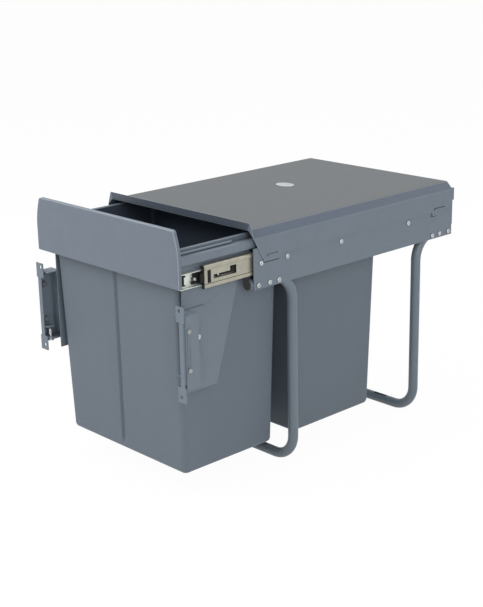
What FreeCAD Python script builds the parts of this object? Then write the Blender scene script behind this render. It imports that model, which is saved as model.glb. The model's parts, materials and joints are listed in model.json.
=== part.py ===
import FreeCAD, Part
import math
import os
import Sketcher

# Twin pull-out waste bin unit for a kitchen base cupboard: a steel frame with a lid stands on two
# bent tube legs, and a drawer carriage with two lift-out bins runs in it on ball bearing slides.
# X points right as seen from the door side, the door side faces -Y, Z is up. The origin lies on the
# cupboard floor, midway between the four slots for the floor screws. Sizes are in millimetres.
# The drawer stands pulled out by a part of its travel.

Vector = FreeCAD.Vector

SIZES = {
    # side plates
    "plate_face": 170,          # outer face of a side plate, from the middle plane
    "plate_sheet": 1.5,
    "plate_depth": 462,
    "plate_top": 367.5,
    "plate_height": 62.5,
    # tube legs
    "leg_span": 293,            # between the front and the rear leg
    "front_overhang": 88,       # plates stand out this far in front of the front leg
    "tube_radius": 8,
    "tube_wall": 1.2,
    "bend_radius": 40,
    "tube_drop": 0.5,           # tubes reach this far below the plates
    "front_tube_end": 4,        # tube stands out of the plate's front edge
    "rear_tube_end": 3,         # tube ends short of the plate's rear edge
    "plug_cap": 1.5,
    "slot_place": 88,           # floor slot's middle, from the middle plane
    "slot_length": 28,
    "slot_radius": 3.5,
    # screws of the frame
    "screw_radius": 2,
    "screw_gap": 0.1,           # hole wider than its screw, on the radius
    "head_radius": 4,
    "head_height": 2,
    "leg_screw_rise": 6,        # above the plate's bottom edge
    "leg_screw_one": 9,         # from the plate's end
    "leg_screw_two": 32,
    "leg_screw_three": 51,
    "leg_screw_length": 6,
    # ball bearing slides
    "slide_below": 24,          # slide's middle line below the plates' top edge
    "slide_length": 450,
    "slide_setback": 4,
    "slide_sheet": 1.2,
    "outer_half": 22.75,        # half heights of the three members
    "middle_half": 17,
    "inner_half": 11.4,
    "outer_flange": 10,         # widths across the slide
    "lip_drop": 3,
    "middle_face": 2.3,         # middle member's back, from the plate's inner face
    "middle_width": 8.2,
    "slide_depth": 12.7,        # plate's inner face to the carriage rail
    "inner_width": 7.8,
    "middle_out": 92,           # middle member's front end ahead of the plates
    "inner_setback": 9,         # inner member's front end behind the fascia's face
    "ball_radius": 2,
    "ball_count": 8,
    "ball_pitch": 12,
    "ball_hole": 2.15,
    "cage_sheet": 0.5,
    "cage_end": 8,
    "outer_cage_place": 128,    # front end of the cage behind the plates' front edge
    "inner_cage_place": 40,
    "outer_cage_face": 1.5,     # cage's back, from the plate's inner face
    "inner_cage_face": 4,
    "outer_cage_width": 7,
    "inner_cage_width": 5.5,
    "slide_screw_one": 14.8,    # from the plates' front edge
    "slide_screw_two": 69,
    "slide_screw_three": 187,
    "slide_screw_four": 348,
    # release lever and bumper of a slide
    "window_place": 17,         # from the middle member's front end
    "window_length": 46,
    "window_low": -4.5,         # from the slide's middle line
    "window_high": 7.5,
    "slit_place": 10,
    "slit_width": 3,
    "slit_half": 10,
    "bumper_flange": 3.5,
    "bumper_flange_half": 16.5,
    "bumper_nose": 8,           # nose's end ahead of the middle member
    "bumper_nose_half": 6.5,
    "bumper_tail": 14,
    "bumper_tail_half": 9.5,
    "bumper_sheet": 1,
    "lever_place": 75.5,        # front end of the lever behind the fascia's face
    "lever_length": 37,
    "lever_bar": 3,
    "lever_low": -3,
    "lever_end": 8,
    "lever_rise": 4.5,
    "lever_width": 5.2,
    "lever_gap": 1,             # between the lever and the inner member's back
    "pin_radius": 1.5,
    "pin_gap": 0.3,
    "boss_radius": 3.5,
    # lid
    "lid_rise": 26.7,           # lid's top over the plates' top edge
    "lid_sheet": 1,
    "lid_depth": 461,
    "shoulder": 12,             # folded corner, the same across and down
    "skirt_drop": 44.2,         # skirt's edge below the lid's top
    "skirt_slant": 18,
    "tongue_drop": 5.5,
    "tongue_start": 19,
    "tongue_width": 33,
    "rear_tongue_start": 408,
    "rear_tongue_width": 15,
    "hook_slot": 1.4,
    "lip_height": 10,
    "lip_inset": 7.8,
    "lip_foot": 1.5,
    "lid_back_drop": 26,
    "badge_long": 17,
    "badge_short": 12.5,
    "badge_sheet": 0.8,
    "badge_left": 25,
    "badge_behind": 26.5,
    # rear cross piece
    "cross_rise": 17,           # over the plates' bottom edge
    "cross_drop": 10.2,         # below the lid's top
    "ear_height": 21,
    "ear_depth": 3.5,
    # fascia, front of the drawer
    "fascia_out": 142.5,        # fascia's face ahead of the plates
    "fascia_half": 168,
    "fascia_drop": 8.5,         # below the slide's middle line
    "fascia_height": 84,
    "fascia_inset": 7.5,        # top corners drawn in
    "fascia_side_radius": 113,
    "fascia_corner": 6,
    "fascia_depth": 7,
    "fascia_sheet": 1.5,
    # carriage
    "rail_sheet": 1.5,
    "rail_drop": 6.5,           # below the slide's middle line
    "rail_length": 459,
    "step_gap": 0.75,           # over the outer member of the slide
    "shelf_rise": 12,           # shelf that carries the bins, over the step
    "step_width": 8.2,
    "shelf_gap": 1.5,           # between the shelf's edge and a bin's mouth
    "front_rail_height": 27,
    "front_rail_flange": 4,
    "middle_rail_width": 14,
    "middle_rail_height": 21.5,
    "rear_rail_flange": 9,
    "carriage_screw_one": 170,  # from the fascia's face
    "carriage_screw_two": 300,
    "carriage_screw_three": 420,
    "fascia_screw_inner": 60,
    "fascia_screw_outer": 120,
    "fascia_screw_drop": 14,    # below the front rail's top
    "fascia_screw_bite": 0.7,
    # wings that carry the door brackets
    "wing_sheet": 1.5,
    "wing_gap": 1,              # below the rail's step
    "wing_under_tray": 16,
    "wing_front": 19.5,         # behind the fascia's face
    "wing_rear_top": 141.5,
    "wing_rear_bottom": 82,
    "wing_inset": 2.6,
    "wing_bend_drop": 3,        # below the rail's bottom edge
    "wing_bend_height": 6,
    "wing_screw_one": 35,
    "wing_screw_two": 100,
    # door brackets
    "tray_outer": 176.5,
    "tray_sheet": 1.5,
    "tray_below": 38,           # tray's top below the rails' bottom edge
    "tray_height": 110,
    "tray_front": 3.5,
    "tray_back": 27.5,
    "tray_foot": 60,
    "tray_screw_place": 46,
    "tray_screw_hidden": 37,
    "tray_screw_level": 65,     # heights over the tray's bottom
    "tray_screw_low": 18,
    "tray_screw_high": 95,
    "clamp_place": 9,
    "clamp_low": 29,
    "clamp_high": 87,
    "clamp_head": 3.5,
    "clamp_nut": 3,
    "clamp_travel": 3.3,        # slot's play for the door plate, up and down
    "slide_gap": 0.2,
    "door_sheet": 1.8,
    "tab_over": 1,              # tabs stand out past the tray's outer face
    "tab_width": 17.5,
    "tab_height": 23.5,
    "plate_over_tray": 13.5,
    "plate_under_tray": 19.5,
    "strip_width": 8.3,
    "flange_back": 22,
    "flange_end_gap": 8,        # to the tray's ends
    "tab_hole_radius": 2.75,
    "tab_hole_edge": 10.5,      # from the tab's outer edge
    "tab_hole_low": 8.5,        # from the door plate's bottom
    "tab_hole_high": 6.5,       # from its top
    "lug_gap": 3.5,             # over the adjusting bolt, room for the plate to go down
    "lug_sheet": 1.5,
    "lug_over": 6,              # lug's edge past the bolt's axis
    "lug_back": 14,
    "bolt_place": 13.5,         # in from the tray's outer face
    "bolt_behind": 9,
    "bolt_radius": 3,
    "bolt_rise": 15,            # bolt's end over the tray's bottom
    "bolt_head_radius": 5,
    "bolt_head_height": 4,
    # bins
    "bin_height": 348.5,
    "bin_base_half_x": 138.5,
    "bin_base_half_y": 90.5,
    "bin_mouth_half_x": 146,
    "bin_mouth_half_y": 100.5,
    "bin_wall": 2.5,
    "bin_floor": 3,
    "bin_corner": 10,
    "bin_base_round": 8,
    "rim_height": 8,
    "rim_over": 4,              # rim stands out over the bin's mouth
    "front_bin_place": 116.2,   # bin's middle behind the fascia's face
    "rear_bin_place": 343.6,
    "groove_place": 6,          # middle of the groove, left of the bin's middle
    "groove_width": 6,
    "groove_depth": 1.4,
    "groove_floor": 9,
    "groove_top": 45,           # ends this far below the rim
    # wire handles
    "wire_radius": 2,
    "wire_gap": 0.5,
    "wire_lift": 0.3,           # above the shelf
    "wire_bend": 12,
    "stub_depth": 3,
}


class Size:
    """A length that knows its sheet expression as well as its present value."""

    def __init__(self, text, value):
        self.text = text
        self.value = value

    def _join(self, sign, other, value):
        return Size("(%s %s %s)" % (self.text, sign, other.text), value)

    def __add__(self, other):
        other = as_size(other)
        return self._join("+", other, self.value + other.value)

    def __sub__(self, other):
        other = as_size(other)
        return self._join("-", other, self.value - other.value)

    def __mul__(self, other):
        other = as_size(other)
        return self._join("*", other, self.value * other.value)

    def __truediv__(self, other):
        other = as_size(other)
        return self._join("/", other, self.value / other.value)

    def __neg__(self):
        return Size("(0 - %s)" % self.text, -self.value)

    def __radd__(self, other):
        return as_size(other) + self

    def __rsub__(self, other):
        return as_size(other) - self

    def __rmul__(self, other):
        return as_size(other) * self

    def root(self):
        return Size("sqrt(%s)" % self.text, self.value ** 0.5)


def as_size(number):
    return number if isinstance(number, Size) else Size(repr(float(number)), float(number))


class Named:
    """Every cell of the sheet as an attribute."""


doc = FreeCAD.newDocument("pull_out_bins")
sheet = doc.addObject("Spreadsheet::Sheet", "dims")
s = Named()
for row, (alias, number) in enumerate(SIZES.items(), start=1):
    sheet.set("A%d" % row, alias)
    sheet.set("B%d" % row, str(number))
    sheet.setAlias("B%d" % row, alias)
    setattr(s, alias, Size("dims." + alias, float(number)))
doc.recompute()

pieces = {}

# Directions of a piece's own x, y and z axes for the planes that outlines are drawn on
PLANES = {
    "XY": FreeCAD.Rotation(Vector(1, 0, 0), Vector(0, 1, 0), Vector(0, 0, 1), "ZXY"),
    "XZ": FreeCAD.Rotation(Vector(1, 0, 0), Vector(0, 0, 1), Vector(0, -1, 0), "ZXY"),
    "YZ": FreeCAD.Rotation(Vector(0, 1, 0), Vector(0, 0, 1), Vector(1, 0, 0), "ZXY"),
}
ALONG = {
    "X": FreeCAD.Rotation(Vector(0, 0, 1), Vector(1, 0, 0)),
    "Y": FreeCAD.Rotation(Vector(0, 0, 1), Vector(0, 1, 0)),
    "Z": FreeCAD.Rotation(),
}
UNIT = {"X": Vector(1, 0, 0), "Y": Vector(0, 1, 0), "Z": Vector(0, 0, 1)}
PAST = 1          # a cutting solid reaches this far past the faces that it opens


def bind(item, name, size):
    item.setExpression(name, as_size(size).text)


def put(item, place, rotation=None):
    """Turns the item once and binds its place to the sheet."""
    if rotation is not None:
        item.Placement = FreeCAD.Placement(Vector(), rotation)
    for axis, size in zip("xyz", place):
        bind(item, "Placement.Base." + axis, size)


def box(name, low, high):
    item = doc.addObject("Part::Box", name)
    for side, start, end in zip(("Length", "Width", "Height"), low, high):
        bind(item, side, as_size(end) - as_size(start))
    put(item, low)
    return item


def rod(name, start, radius, length, axis):
    item = doc.addObject("Part::Cylinder", name)
    bind(item, "Radius", radius)
    bind(item, "Height", length)
    put(item, start, ALONG[axis])
    return item


def ball(name, centre, radius):
    item = doc.addObject("Part::Sphere", name)
    bind(item, "Radius", radius)
    put(item, centre)
    return item


def elbow(name, centre, bend, radius, first, second):
    """A quarter bend of a round bar, from the first direction to the second."""
    item = doc.addObject("Part::Torus", name)
    bind(item, "Radius1", bend)
    bind(item, "Radius2", radius)
    item.Angle3 = 90
    put(item, centre, FreeCAD.Rotation(first, second, first.cross(second), "ZXY"))
    return item


def fuse(name, items):
    item = doc.addObject("Part::MultiFuse", name)
    item.Shapes = items
    item.Refine = True
    return item


def cut(name, base, tools):
    tool = tools[0] if len(tools) == 1 else fuse(name + "_tools", tools)
    item = doc.addObject("Part::Cut", name)
    item.Base = base
    item.Tool = tool
    return item


def common(name, first, second):
    item = doc.addObject("Part::MultiCommon", name)
    item.Shapes = [first, second]
    return item


def group(name, items):
    item = doc.addObject("Part::Compound", name)
    item.Links = items
    return item


def mirror(name, source):
    item = doc.addObject("Part::Mirroring", name)
    item.Source = source
    item.Normal = UNIT["X"]
    return item


def place_point(sketch, line, x, y):
    """Holds a line's first point at x, y from the sketch's origin."""
    for kind, size, axis in (("DistanceX", x, -2), ("DistanceY", y, -1)):
        size = as_size(size)
        if abs(size.value) < 1e-9:
            sketch.addConstraint(Sketcher.Constraint("PointOnObject", line, 1, axis))
        else:
            held = sketch.addConstraint(Sketcher.Constraint(kind, -1, 1, line, 1, size.value))
            sketch.setExpression("Constraints[%d]" % held, size.text)


def arc_through(start, end, radius):
    """The arc from start to end that bulges to the right of the way between them."""
    chord = end - start
    middle = (start + end) * 0.5
    right = Vector(chord.y, -chord.x, 0).normalize()
    rise = radius - (radius ** 2 - (chord.Length / 2) ** 2) ** 0.5
    return Part.Arc(start, middle + right * rise, end)


def prism(name, plane, corners, start, length):
    """An outline drawn on a plane and drawn out. A corner is x, y and, where the edge that leaves it
    is round, that edge's radius. The solid runs from start along the plane's normal axis."""
    sketch = doc.addObject("Sketcher::SketchObject", name + "_outline")
    axis = {"XY": "Z", "XZ": "Y", "YZ": "X"}[plane]
    put(sketch, [start if axis == letter else 0 for letter in "XYZ"], PLANES[plane])
    points = [Vector(as_size(c[0]).value, as_size(c[1]).value, 0) for c in corners]
    ends = []
    for index, corner in enumerate(corners):
        a, b = points[index], points[(index + 1) % len(points)]
        if len(corner) == 3:
            line = sketch.addGeometry(arc_through(a, b, corner[2].value))
            forward = (sketch.getPoint(line, 1) - a).Length < 1e-6
            ends.append((1, 2) if forward else (2, 1))
            held = sketch.addConstraint(Sketcher.Constraint("Radius", line, corner[2].value))
            sketch.setExpression("Constraints[%d]" % held, corner[2].text)
        else:
            sketch.addGeometry(Part.LineSegment(a, b))
            ends.append((1, 2))
    for index, corner in enumerate(corners):
        after = (index + 1) % len(corners)
        sketch.addConstraint(
            Sketcher.Constraint("Coincident", index, ends[index][1], after, ends[after][0]))
    for index, corner in enumerate(corners):
        if len(corner) == 2:
            place_point(sketch, index, corner[0], corner[1])
        else:
            before = (index - 1) % len(corners)
            hold_end(sketch, before, ends[before][1], corner)
    item = doc.addObject("Part::Extrusion", name)
    item.Base = sketch
    item.DirMode = "Custom"
    item.Dir = UNIT[axis]
    item.Solid = True
    bind(item, "LengthFwd", length)
    return item


def hold_end(sketch, line, end, corner):
    """Holds the corner where a line ends and an arc begins."""
    for kind, size in (("DistanceX", corner[0]), ("DistanceY", corner[1])):
        size = as_size(size)
        held = sketch.addConstraint(Sketcher.Constraint(kind, -1, 1, line, end, size.value))
        sketch.setExpression("Constraints[%d]" % held, size.text)


def keep(name, item):
    item.Label = name
    pieces[name] = item
    return item


def keep_both(name, right):
    """Keeps a piece of the right side and its mirror image on the left."""
    keep(name + "_right", right)
    keep(name + "_left", mirror(name + "_mirrored", right))


def screws(name, places, axis, outward, length, radius=s.screw_radius, head=s.head_radius):
    """Screws whose heads stand on a face at the given places. Outward is +1 or -1 along the axis.
    Returns the solids of the screws and of their holes, each as one object."""
    letter = "XYZ".index(axis)
    bars, holes = [], []
    for index, place in enumerate(places):
        head_start = list(place)
        shank_start = list(place)
        hole_start = list(place)
        if outward > 0:
            shank_start[letter] = place[letter] - length
            hole_start[letter] = shank_start[letter] - s.screw_gap
        else:
            head_start[letter] = place[letter] - s.head_height
            hole_start[letter] = place[letter] - s.screw_gap
        tag = "%s_%d" % (name, index)
        bars.append(rod(tag + "_head", head_start, head, s.head_height, axis))
        bars.append(rod(tag + "_shank", shank_start, radius, length, axis))
        holes.append(rod(tag + "_hole", hole_start, radius + s.screw_gap,
                         length + s.screw_gap * 2, axis))
    return fuse(name + "_solids", bars), fuse(name + "_holes", holes)


# Places that several pieces share
plate_front = -(s.leg_span / 2) - s.front_overhang
plate_back = plate_front + s.plate_depth
plate_inner = s.plate_face - s.plate_sheet
plate_bottom = s.plate_top - s.plate_height
fascia_front = plate_front - s.fascia_out
front_leg = -(s.leg_span / 2)
rear_leg = s.leg_span / 2
slide_level = s.plate_top - s.slide_below
lid_top = s.plate_top + s.lid_rise
tube_x = plate_inner - s.tube_radius
tube_top = plate_bottom + s.tube_radius - s.tube_drop
rail_face = plate_inner - s.slide_depth
rail_inner = rail_face - s.rail_sheet
skirt_bottom = lid_top - s.skirt_drop
tongue_bottom = skirt_bottom - s.tongue_drop
rail_back = fascia_front + s.fascia_sheet + s.rail_length
rail_bottom = slide_level - s.rail_drop
rail_step = slide_level + s.outer_half + s.step_gap
rail_top = rail_step + s.shelf_rise
shelf = rail_top - s.rail_sheet
tray_top = rail_bottom - s.tray_below
tray_bottom = tray_top - s.tray_height
bin_top = rail_top + s.rim_height
bin_bottom = bin_top - s.bin_height


# Frame: screws first, because their holes go through several pieces

def leg_screw_places():
    level = plate_bottom + s.leg_screw_rise
    offsets = (s.leg_screw_one, s.leg_screw_two, s.leg_screw_three)
    ends = [plate_front + offset for offset in offsets] + [plate_back - offset for offset in offsets]
    return [(s.plate_face, end, level) for end in ends]


def slide_screw_places():
    offsets = (s.slide_screw_one, s.slide_screw_two, s.slide_screw_three, s.slide_screw_four)
    return [(s.plate_face, plate_front + offset, slide_level) for offset in offsets]


leg_screws, leg_screw_holes = screws("leg_screw", leg_screw_places(), "X", 1, s.leg_screw_length)
slide_screws, slide_screw_holes = screws(
    "slide_screw", slide_screw_places(), "X", 1, s.plate_sheet + s.slide_sheet)
keep("leg_screws", group("leg_screw_group", [leg_screws, mirror("leg_screws_mirrored", leg_screws)]))
keep("slide_screws",
     group("slide_screw_group", [slide_screws, mirror("slide_screws_mirrored", slide_screws)]))


def side_plate():
    plate = box("plate_blank", (plate_inner, plate_front, plate_bottom),
                (s.plate_face, plate_back, s.plate_top))
    hook_slots = [
        box("hook_slot_%d" % index,
            (plate_inner - PAST, plate_front + start, tongue_bottom - s.hook_slot),
            (s.plate_face + PAST, plate_front + start + width, tongue_bottom))
        for index, (start, width) in enumerate(
            ((s.tongue_start, s.tongue_width), (s.rear_tongue_start, s.rear_tongue_width)))]
    return cut("plate_cut", plate, [leg_screw_holes, slide_screw_holes] + hook_slots)


keep_both("side_plate", side_plate())


def leg_bar(name, leg_y, way, end, radius):
    """The solid bar of a leg: top runs on both sides, uprights and the cross run on the floor.
    Way is -1 where the top runs point to the door and +1 where they point to the wall."""
    bend = s.bend_radius
    to_end = Vector(0, way, 0)
    corner_y = leg_y + bend * way
    low, high = (end, corner_y) if way < 0 else (corner_y, end)
    half = [
        rod(name + "_run", (tube_x, low, tube_top), radius, high - low, "Y"),
        elbow(name + "_top_bend", (tube_x, corner_y, tube_top - bend), bend, radius,
              *((-to_end, UNIT["Z"]) if way < 0 else (UNIT["Z"], -to_end))),
        rod(name + "_upright", (tube_x, leg_y, s.tube_radius + bend), radius,
            tube_top - bend * 2 - s.tube_radius, "Z"),
        elbow(name + "_foot_bend", (tube_x - bend, leg_y, s.tube_radius + bend), bend, radius,
              -UNIT["Z"], UNIT["X"]),
    ]
    cross = rod(name + "_cross", (bend - tube_x, leg_y, s.tube_radius), radius,
                (tube_x - bend) * 2, "X")
    return fuse(name, half + [mirror(part.Name + "_mirrored", part) for part in half] + [cross])


def floor_slots(name, leg_y):
    """Upright slots through a leg's cross run, one on each side."""
    reach = s.slot_length / 2 - s.slot_radius
    depth = s.tube_radius * 2 + PAST * 2
    right = fuse(name + "_right", [
        rod(name + "_end_in", (s.slot_place - reach, leg_y, -PAST), s.slot_radius, depth, "Z"),
        rod(name + "_end_out", (s.slot_place + reach, leg_y, -PAST), s.slot_radius, depth, "Z"),
        box(name + "_middle", (s.slot_place - reach, leg_y - s.slot_radius, -PAST),
            (s.slot_place + reach, leg_y + s.slot_radius, depth - PAST)),
    ])
    return [right, mirror(name + "_left", right)]


def leg(name, leg_y, way, end):
    bore = s.tube_radius - s.tube_wall
    outside = leg_bar(name + "_outside", leg_y, way, end, s.tube_radius)
    inside = leg_bar(name + "_inside", leg_y, way, end + PAST * way, bore)
    holes = [leg_screw_holes, mirror(name + "_holes_mirrored", leg_screw_holes)]
    return cut(name + "_cut", outside, [inside] + floor_slots(name + "_slot", leg_y) + holes)


front_end = plate_front - s.front_tube_end
rear_end = plate_back - s.rear_tube_end
keep("front_leg", leg("front_leg_tube", front_leg, -1, front_end))
keep("rear_leg", leg("rear_leg_tube", rear_leg, 1, rear_end))


def tube_plugs():
    stem = s.tube_radius - s.tube_wall
    front = [
        rod("front_plug_cap", (tube_x, front_end - s.plug_cap, tube_top), s.tube_radius, s.plug_cap, "Y"),
        rod("front_plug_stem", (tube_x, front_end, tube_top), stem, s.leg_screw_one / 2, "Y"),
    ]
    rear = [
        rod("rear_plug_cap", (tube_x, rear_end, tube_top), s.tube_radius, s.plug_cap, "Y"),
        rod("rear_plug_stem", (tube_x, rear_end - s.rear_tube_end, tube_top), stem, s.rear_tube_end, "Y"),
    ]
    right = [fuse("front_plug", front), fuse("rear_plug", rear)]
    return group("plug_group", right + [mirror(plug.Name + "_mirrored", plug) for plug in right])


keep("tube_plugs", tube_plugs())


# Ball bearing slides

def channel(name, back, reach, half, way, start, length, lip=None):
    """A slide member along Y: its back stands at x = back and its flanges reach from there by the
    given width, to the left where way is -1 and to the right where it is +1."""
    sheet_x = back + s.slide_sheet * way
    edge = back + reach * way
    level, end = slide_level, start + length

    def across(first, second):
        return (first, second) if way > 0 else (second, first)

    low, high = across(back, sheet_x)
    parts = [box(name + "_back", (low, start, level - half), (high, end, level + half))]
    low, high = across(back, edge)
    parts.append(box(name + "_upper", (low, start, level + half - s.slide_sheet), (high, end, level + half)))
    parts.append(box(name + "_lower", (low, start, level - half), (high, end, level - half + s.slide_sheet)))
    if lip is not None:
        low, high = across(edge - s.slide_sheet * way, edge)
        inner = half - s.slide_sheet
        parts.append(box(name + "_lip_up", (low, start, level + inner - lip), (high, end, level + inner)))
        parts.append(box(name + "_lip_down", (low, start, level - inner), (high, end, level - inner + lip)))
    return fuse(name, parts)


slide_start = plate_front + s.slide_setback
middle_start = plate_front - s.middle_out
middle_back = plate_inner - s.middle_face
inner_start = fascia_front + s.inner_setback

outer_member = channel("outer_channel", plate_inner, s.outer_flange, s.outer_half, -1, slide_start,
                       s.slide_length, s.lip_drop)
keep_both("slide_outer", cut("outer_member", outer_member, [slide_screw_holes]))


def middle_member():
    blank = channel("middle_channel", middle_back, s.middle_width, s.middle_half, -1, middle_start,
                    s.slide_length)
    window_start = middle_start + s.window_place
    slit_start = middle_start + s.slit_place
    web_in = middle_back - s.slide_sheet - PAST
    window = box("lever_window", (web_in, window_start, slide_level + s.window_low),
                 (middle_back + PAST, window_start + s.window_length, slide_level + s.window_high))
    slit = box("bumper_slit", (web_in, slit_start, slide_level - s.slit_half),
               (middle_back + PAST, slit_start + s.slit_width, slide_level + s.slit_half))
    return cut("middle_member", blank, [window, slit])


keep_both("slide_middle", middle_member())


def bumper():
    """Plastic stop on the middle member's front end: a tail behind the back sheet, a flange that
    covers the end and a nose."""
    sheet_in = middle_back - s.slide_sheet
    level = slide_level
    return fuse("bumper", [
        box("bumper_tail_part", (sheet_in - s.bumper_sheet, middle_start, level - s.bumper_tail_half),
            (sheet_in, middle_start + s.bumper_tail, level + s.bumper_tail_half)),
        box("bumper_flange_part",
            (sheet_in - s.bumper_sheet, middle_start - s.bumper_flange, level - s.bumper_flange_half),
            (middle_back, middle_start, level + s.bumper_flange_half)),
        box("bumper_nose_part",
            (sheet_in - s.bumper_sheet, middle_start - s.bumper_nose, level - s.bumper_nose_half),
            (middle_back, middle_start, level + s.bumper_nose_half)),
    ])


keep_both("slide_bumper", bumper())

# Screws that hold the inner members to the carriage, and the wings with them
carriage_offsets = (s.carriage_screw_one, s.carriage_screw_two, s.carriage_screw_three)
web_stack = s.rail_sheet + s.slide_sheet
carriage_screws, carriage_screw_holes = screws(
    "carriage_screw", [(rail_inner, fascia_front + offset, slide_level) for offset in carriage_offsets],
    "X", -1, web_stack)
wing_screws, wing_screw_holes = screws(
    "wing_screw",
    [(rail_inner - s.wing_sheet, fascia_front + offset, slide_level)
     for offset in (s.wing_screw_one, s.wing_screw_two)],
    "X", -1, web_stack + s.wing_sheet)
keep("carriage_screws", group("carriage_screw_group", [
    carriage_screws, mirror("carriage_screws_mirrored", carriage_screws)]))
keep("wing_screws", group("wing_screw_group", [wing_screws, mirror("wing_screws_mirrored", wing_screws)]))

inner_member = channel("inner_channel", rail_face, s.inner_width, s.inner_half, 1, inner_start,
                       s.slide_length)
keep_both("slide_inner", cut("inner_member", inner_member, [carriage_screw_holes, wing_screw_holes]))


def cage(name, back, width, gap_middle, start):
    """Ball retainer: a strip sheet bent to a channel, drilled for the balls. Returns it and the
    balls. Gap middle is the height of the ball rows over the slide's middle line."""
    half = gap_middle + s.cage_sheet / 2
    length = s.cage_end * 2 + s.ball_pitch * (s.ball_count - 1)
    inner, end = back - width, start + length
    level = slide_level
    low, high = level - half, level + half
    strip = fuse(name + "_strip", [
        box(name + "_back", (back - s.cage_sheet, start, low), (back, end, high)),
        box(name + "_upper", (inner, start, high - s.cage_sheet), (back, end, high)),
        box(name + "_lower", (inner, start, low), (back, end, low + s.cage_sheet)),
    ])
    ball_x = inner + s.ball_hole + s.cage_sheet
    balls, holes = [], []
    for index in range(int(s.ball_count.value)):
        ball_y = start + s.cage_end + s.ball_pitch * index
        holes.append(rod("%s_hole_%d" % (name, index), (ball_x, ball_y, low - PAST), s.ball_hole,
                         half * 2 + PAST * 2, "Z"))
        for side in (-1, 1):
            balls.append(ball("%s_ball_%d_%d" % (name, index, side + 1),
                              (ball_x, ball_y, level + gap_middle * side), s.ball_radius))
    return cut(name, strip, holes), group(name + "_balls", balls)


outer_gap = (s.outer_half - s.slide_sheet + s.middle_half) / 2
inner_gap = (s.middle_half - s.slide_sheet + s.inner_half) / 2
outer_cage, outer_balls = cage("outer_cage", plate_inner - s.outer_cage_face, s.outer_cage_width,
                               outer_gap, plate_front + s.outer_cage_place)
inner_cage, inner_balls = cage("inner_cage", plate_inner - s.inner_cage_face, s.inner_cage_width,
                               inner_gap, plate_front + s.inner_cage_place)
keep_both("outer_ball_cage", outer_cage)
keep_both("outer_balls", outer_balls)
keep_both("inner_ball_cage", inner_cage)
keep_both("inner_balls", inner_balls)


def release_lever():
    """Plastic lever on a pin of the inner member, seen through the middle member's window."""
    near = rail_face + s.slide_sheet + s.lever_gap
    far = near + s.lever_width
    start = fascia_front + s.lever_place
    end = start + s.lever_length
    low = slide_level + s.lever_low
    pin_y = start + s.boss_radius
    pin_z = low + s.lever_bar / 2
    blank = fuse("lever_blank", [
        box("lever_bar_part", (near, pin_y, low), (far, end, low + s.lever_bar)),
        box("lever_end_part", (near, end - s.lever_end, low),
            (far, end, low + s.lever_bar + s.lever_rise)),
        rod("lever_boss", (near, pin_y, pin_z), s.boss_radius, s.lever_width, "X"),
    ])
    hole = rod("lever_hole", (near - PAST, pin_y, pin_z), s.pin_radius + s.pin_gap,
               s.lever_width + PAST * 2, "X")
    pin = rod("lever_pin", (rail_face + s.slide_sheet, pin_y, pin_z), s.pin_radius,
              s.lever_gap + s.lever_width, "X")
    return cut("lever", blank, [hole]), pin


lever, lever_pin = release_lever()
keep_both("release_lever", lever)
keep("lever_pins", group("lever_pin_group", [lever_pin, mirror("lever_pin_mirrored", lever_pin)]))


# Lid and rear cross piece

def lid():
    """Folded sheet: top, shoulders at 45 degrees, skirts with tongues, front lip and back fold."""
    half, top, sheet_t, fold = s.plate_face + s.lid_sheet, lid_top, s.lid_sheet, s.shoulder
    shift = sheet_t * math.tan(math.radians(45 / 2))    # inner corner of a fold of 45 degrees
    low = tongue_bottom
    outside = [(half, low), (half, top - fold), (half - fold, top)]
    inside = [(half - fold - shift, top - sheet_t), (half - sheet_t, top - fold - shift),
              (half - sheet_t, low)]
    left = [(-x, z) for x, z in outside[::-1]] + [(-x, z) for x, z in inside[::-1]]
    folded = prism("lid_folded", "XZ", outside + left + inside, plate_front, s.lid_depth)
    front = plate_front
    side = prism("lid_side", "YZ", [
        (front, top + PAST), (front, top - fold), (front + s.skirt_slant, skirt_bottom),
        (front + s.tongue_start, low), (front + s.tongue_start + s.tongue_width, low),
        (front + s.tongue_start + s.tongue_width, skirt_bottom),
        (front + s.rear_tongue_start, skirt_bottom), (front + s.rear_tongue_start, low),
        (front + s.rear_tongue_start + s.rear_tongue_width, low),
        (front + s.rear_tongue_start + s.rear_tongue_width, skirt_bottom),
        (front + s.lid_depth, skirt_bottom), (front + s.lid_depth, top + PAST),
    ], -(half + PAST), (half + PAST) * 2)
    lip_right = [(half - sheet_t, top - fold - shift), (half, top - fold + s.lip_foot),
                 (half - s.lip_inset, top + s.lip_height)]
    under = [(half - fold - shift, top - sheet_t)]
    lip_outline = (lip_right + [(-x, z) for x, z in lip_right[::-1]]
                   + [(-x, z) for x, z in under] + under)
    lip = prism("lid_lip", "XZ", lip_outline, front, sheet_t)
    back_half = half - fold - shift
    back = box("lid_back", (-back_half, front + s.lid_depth - sheet_t, top - s.lid_back_drop),
               (back_half, front + s.lid_depth, top - sheet_t / 2))
    return fuse("lid_sheet_metal", [common("lid_trimmed", folded, side), lip, back])


keep("lid", lid())


def badge():
    ring = doc.addObject("Part::Ellipse", "badge_outline")
    bind(ring, "MajorRadius", s.badge_long)
    bind(ring, "MinorRadius", s.badge_short)
    put(ring, (-s.badge_left, s.badge_behind, lid_top))
    item = doc.addObject("Part::Extrusion", "badge")
    item.Base = ring
    item.DirMode = "Custom"
    item.Dir = UNIT["Z"]
    item.Solid = True
    bind(item, "LengthFwd", s.badge_sheet)
    return item


keep("lid_badge", badge())


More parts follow.
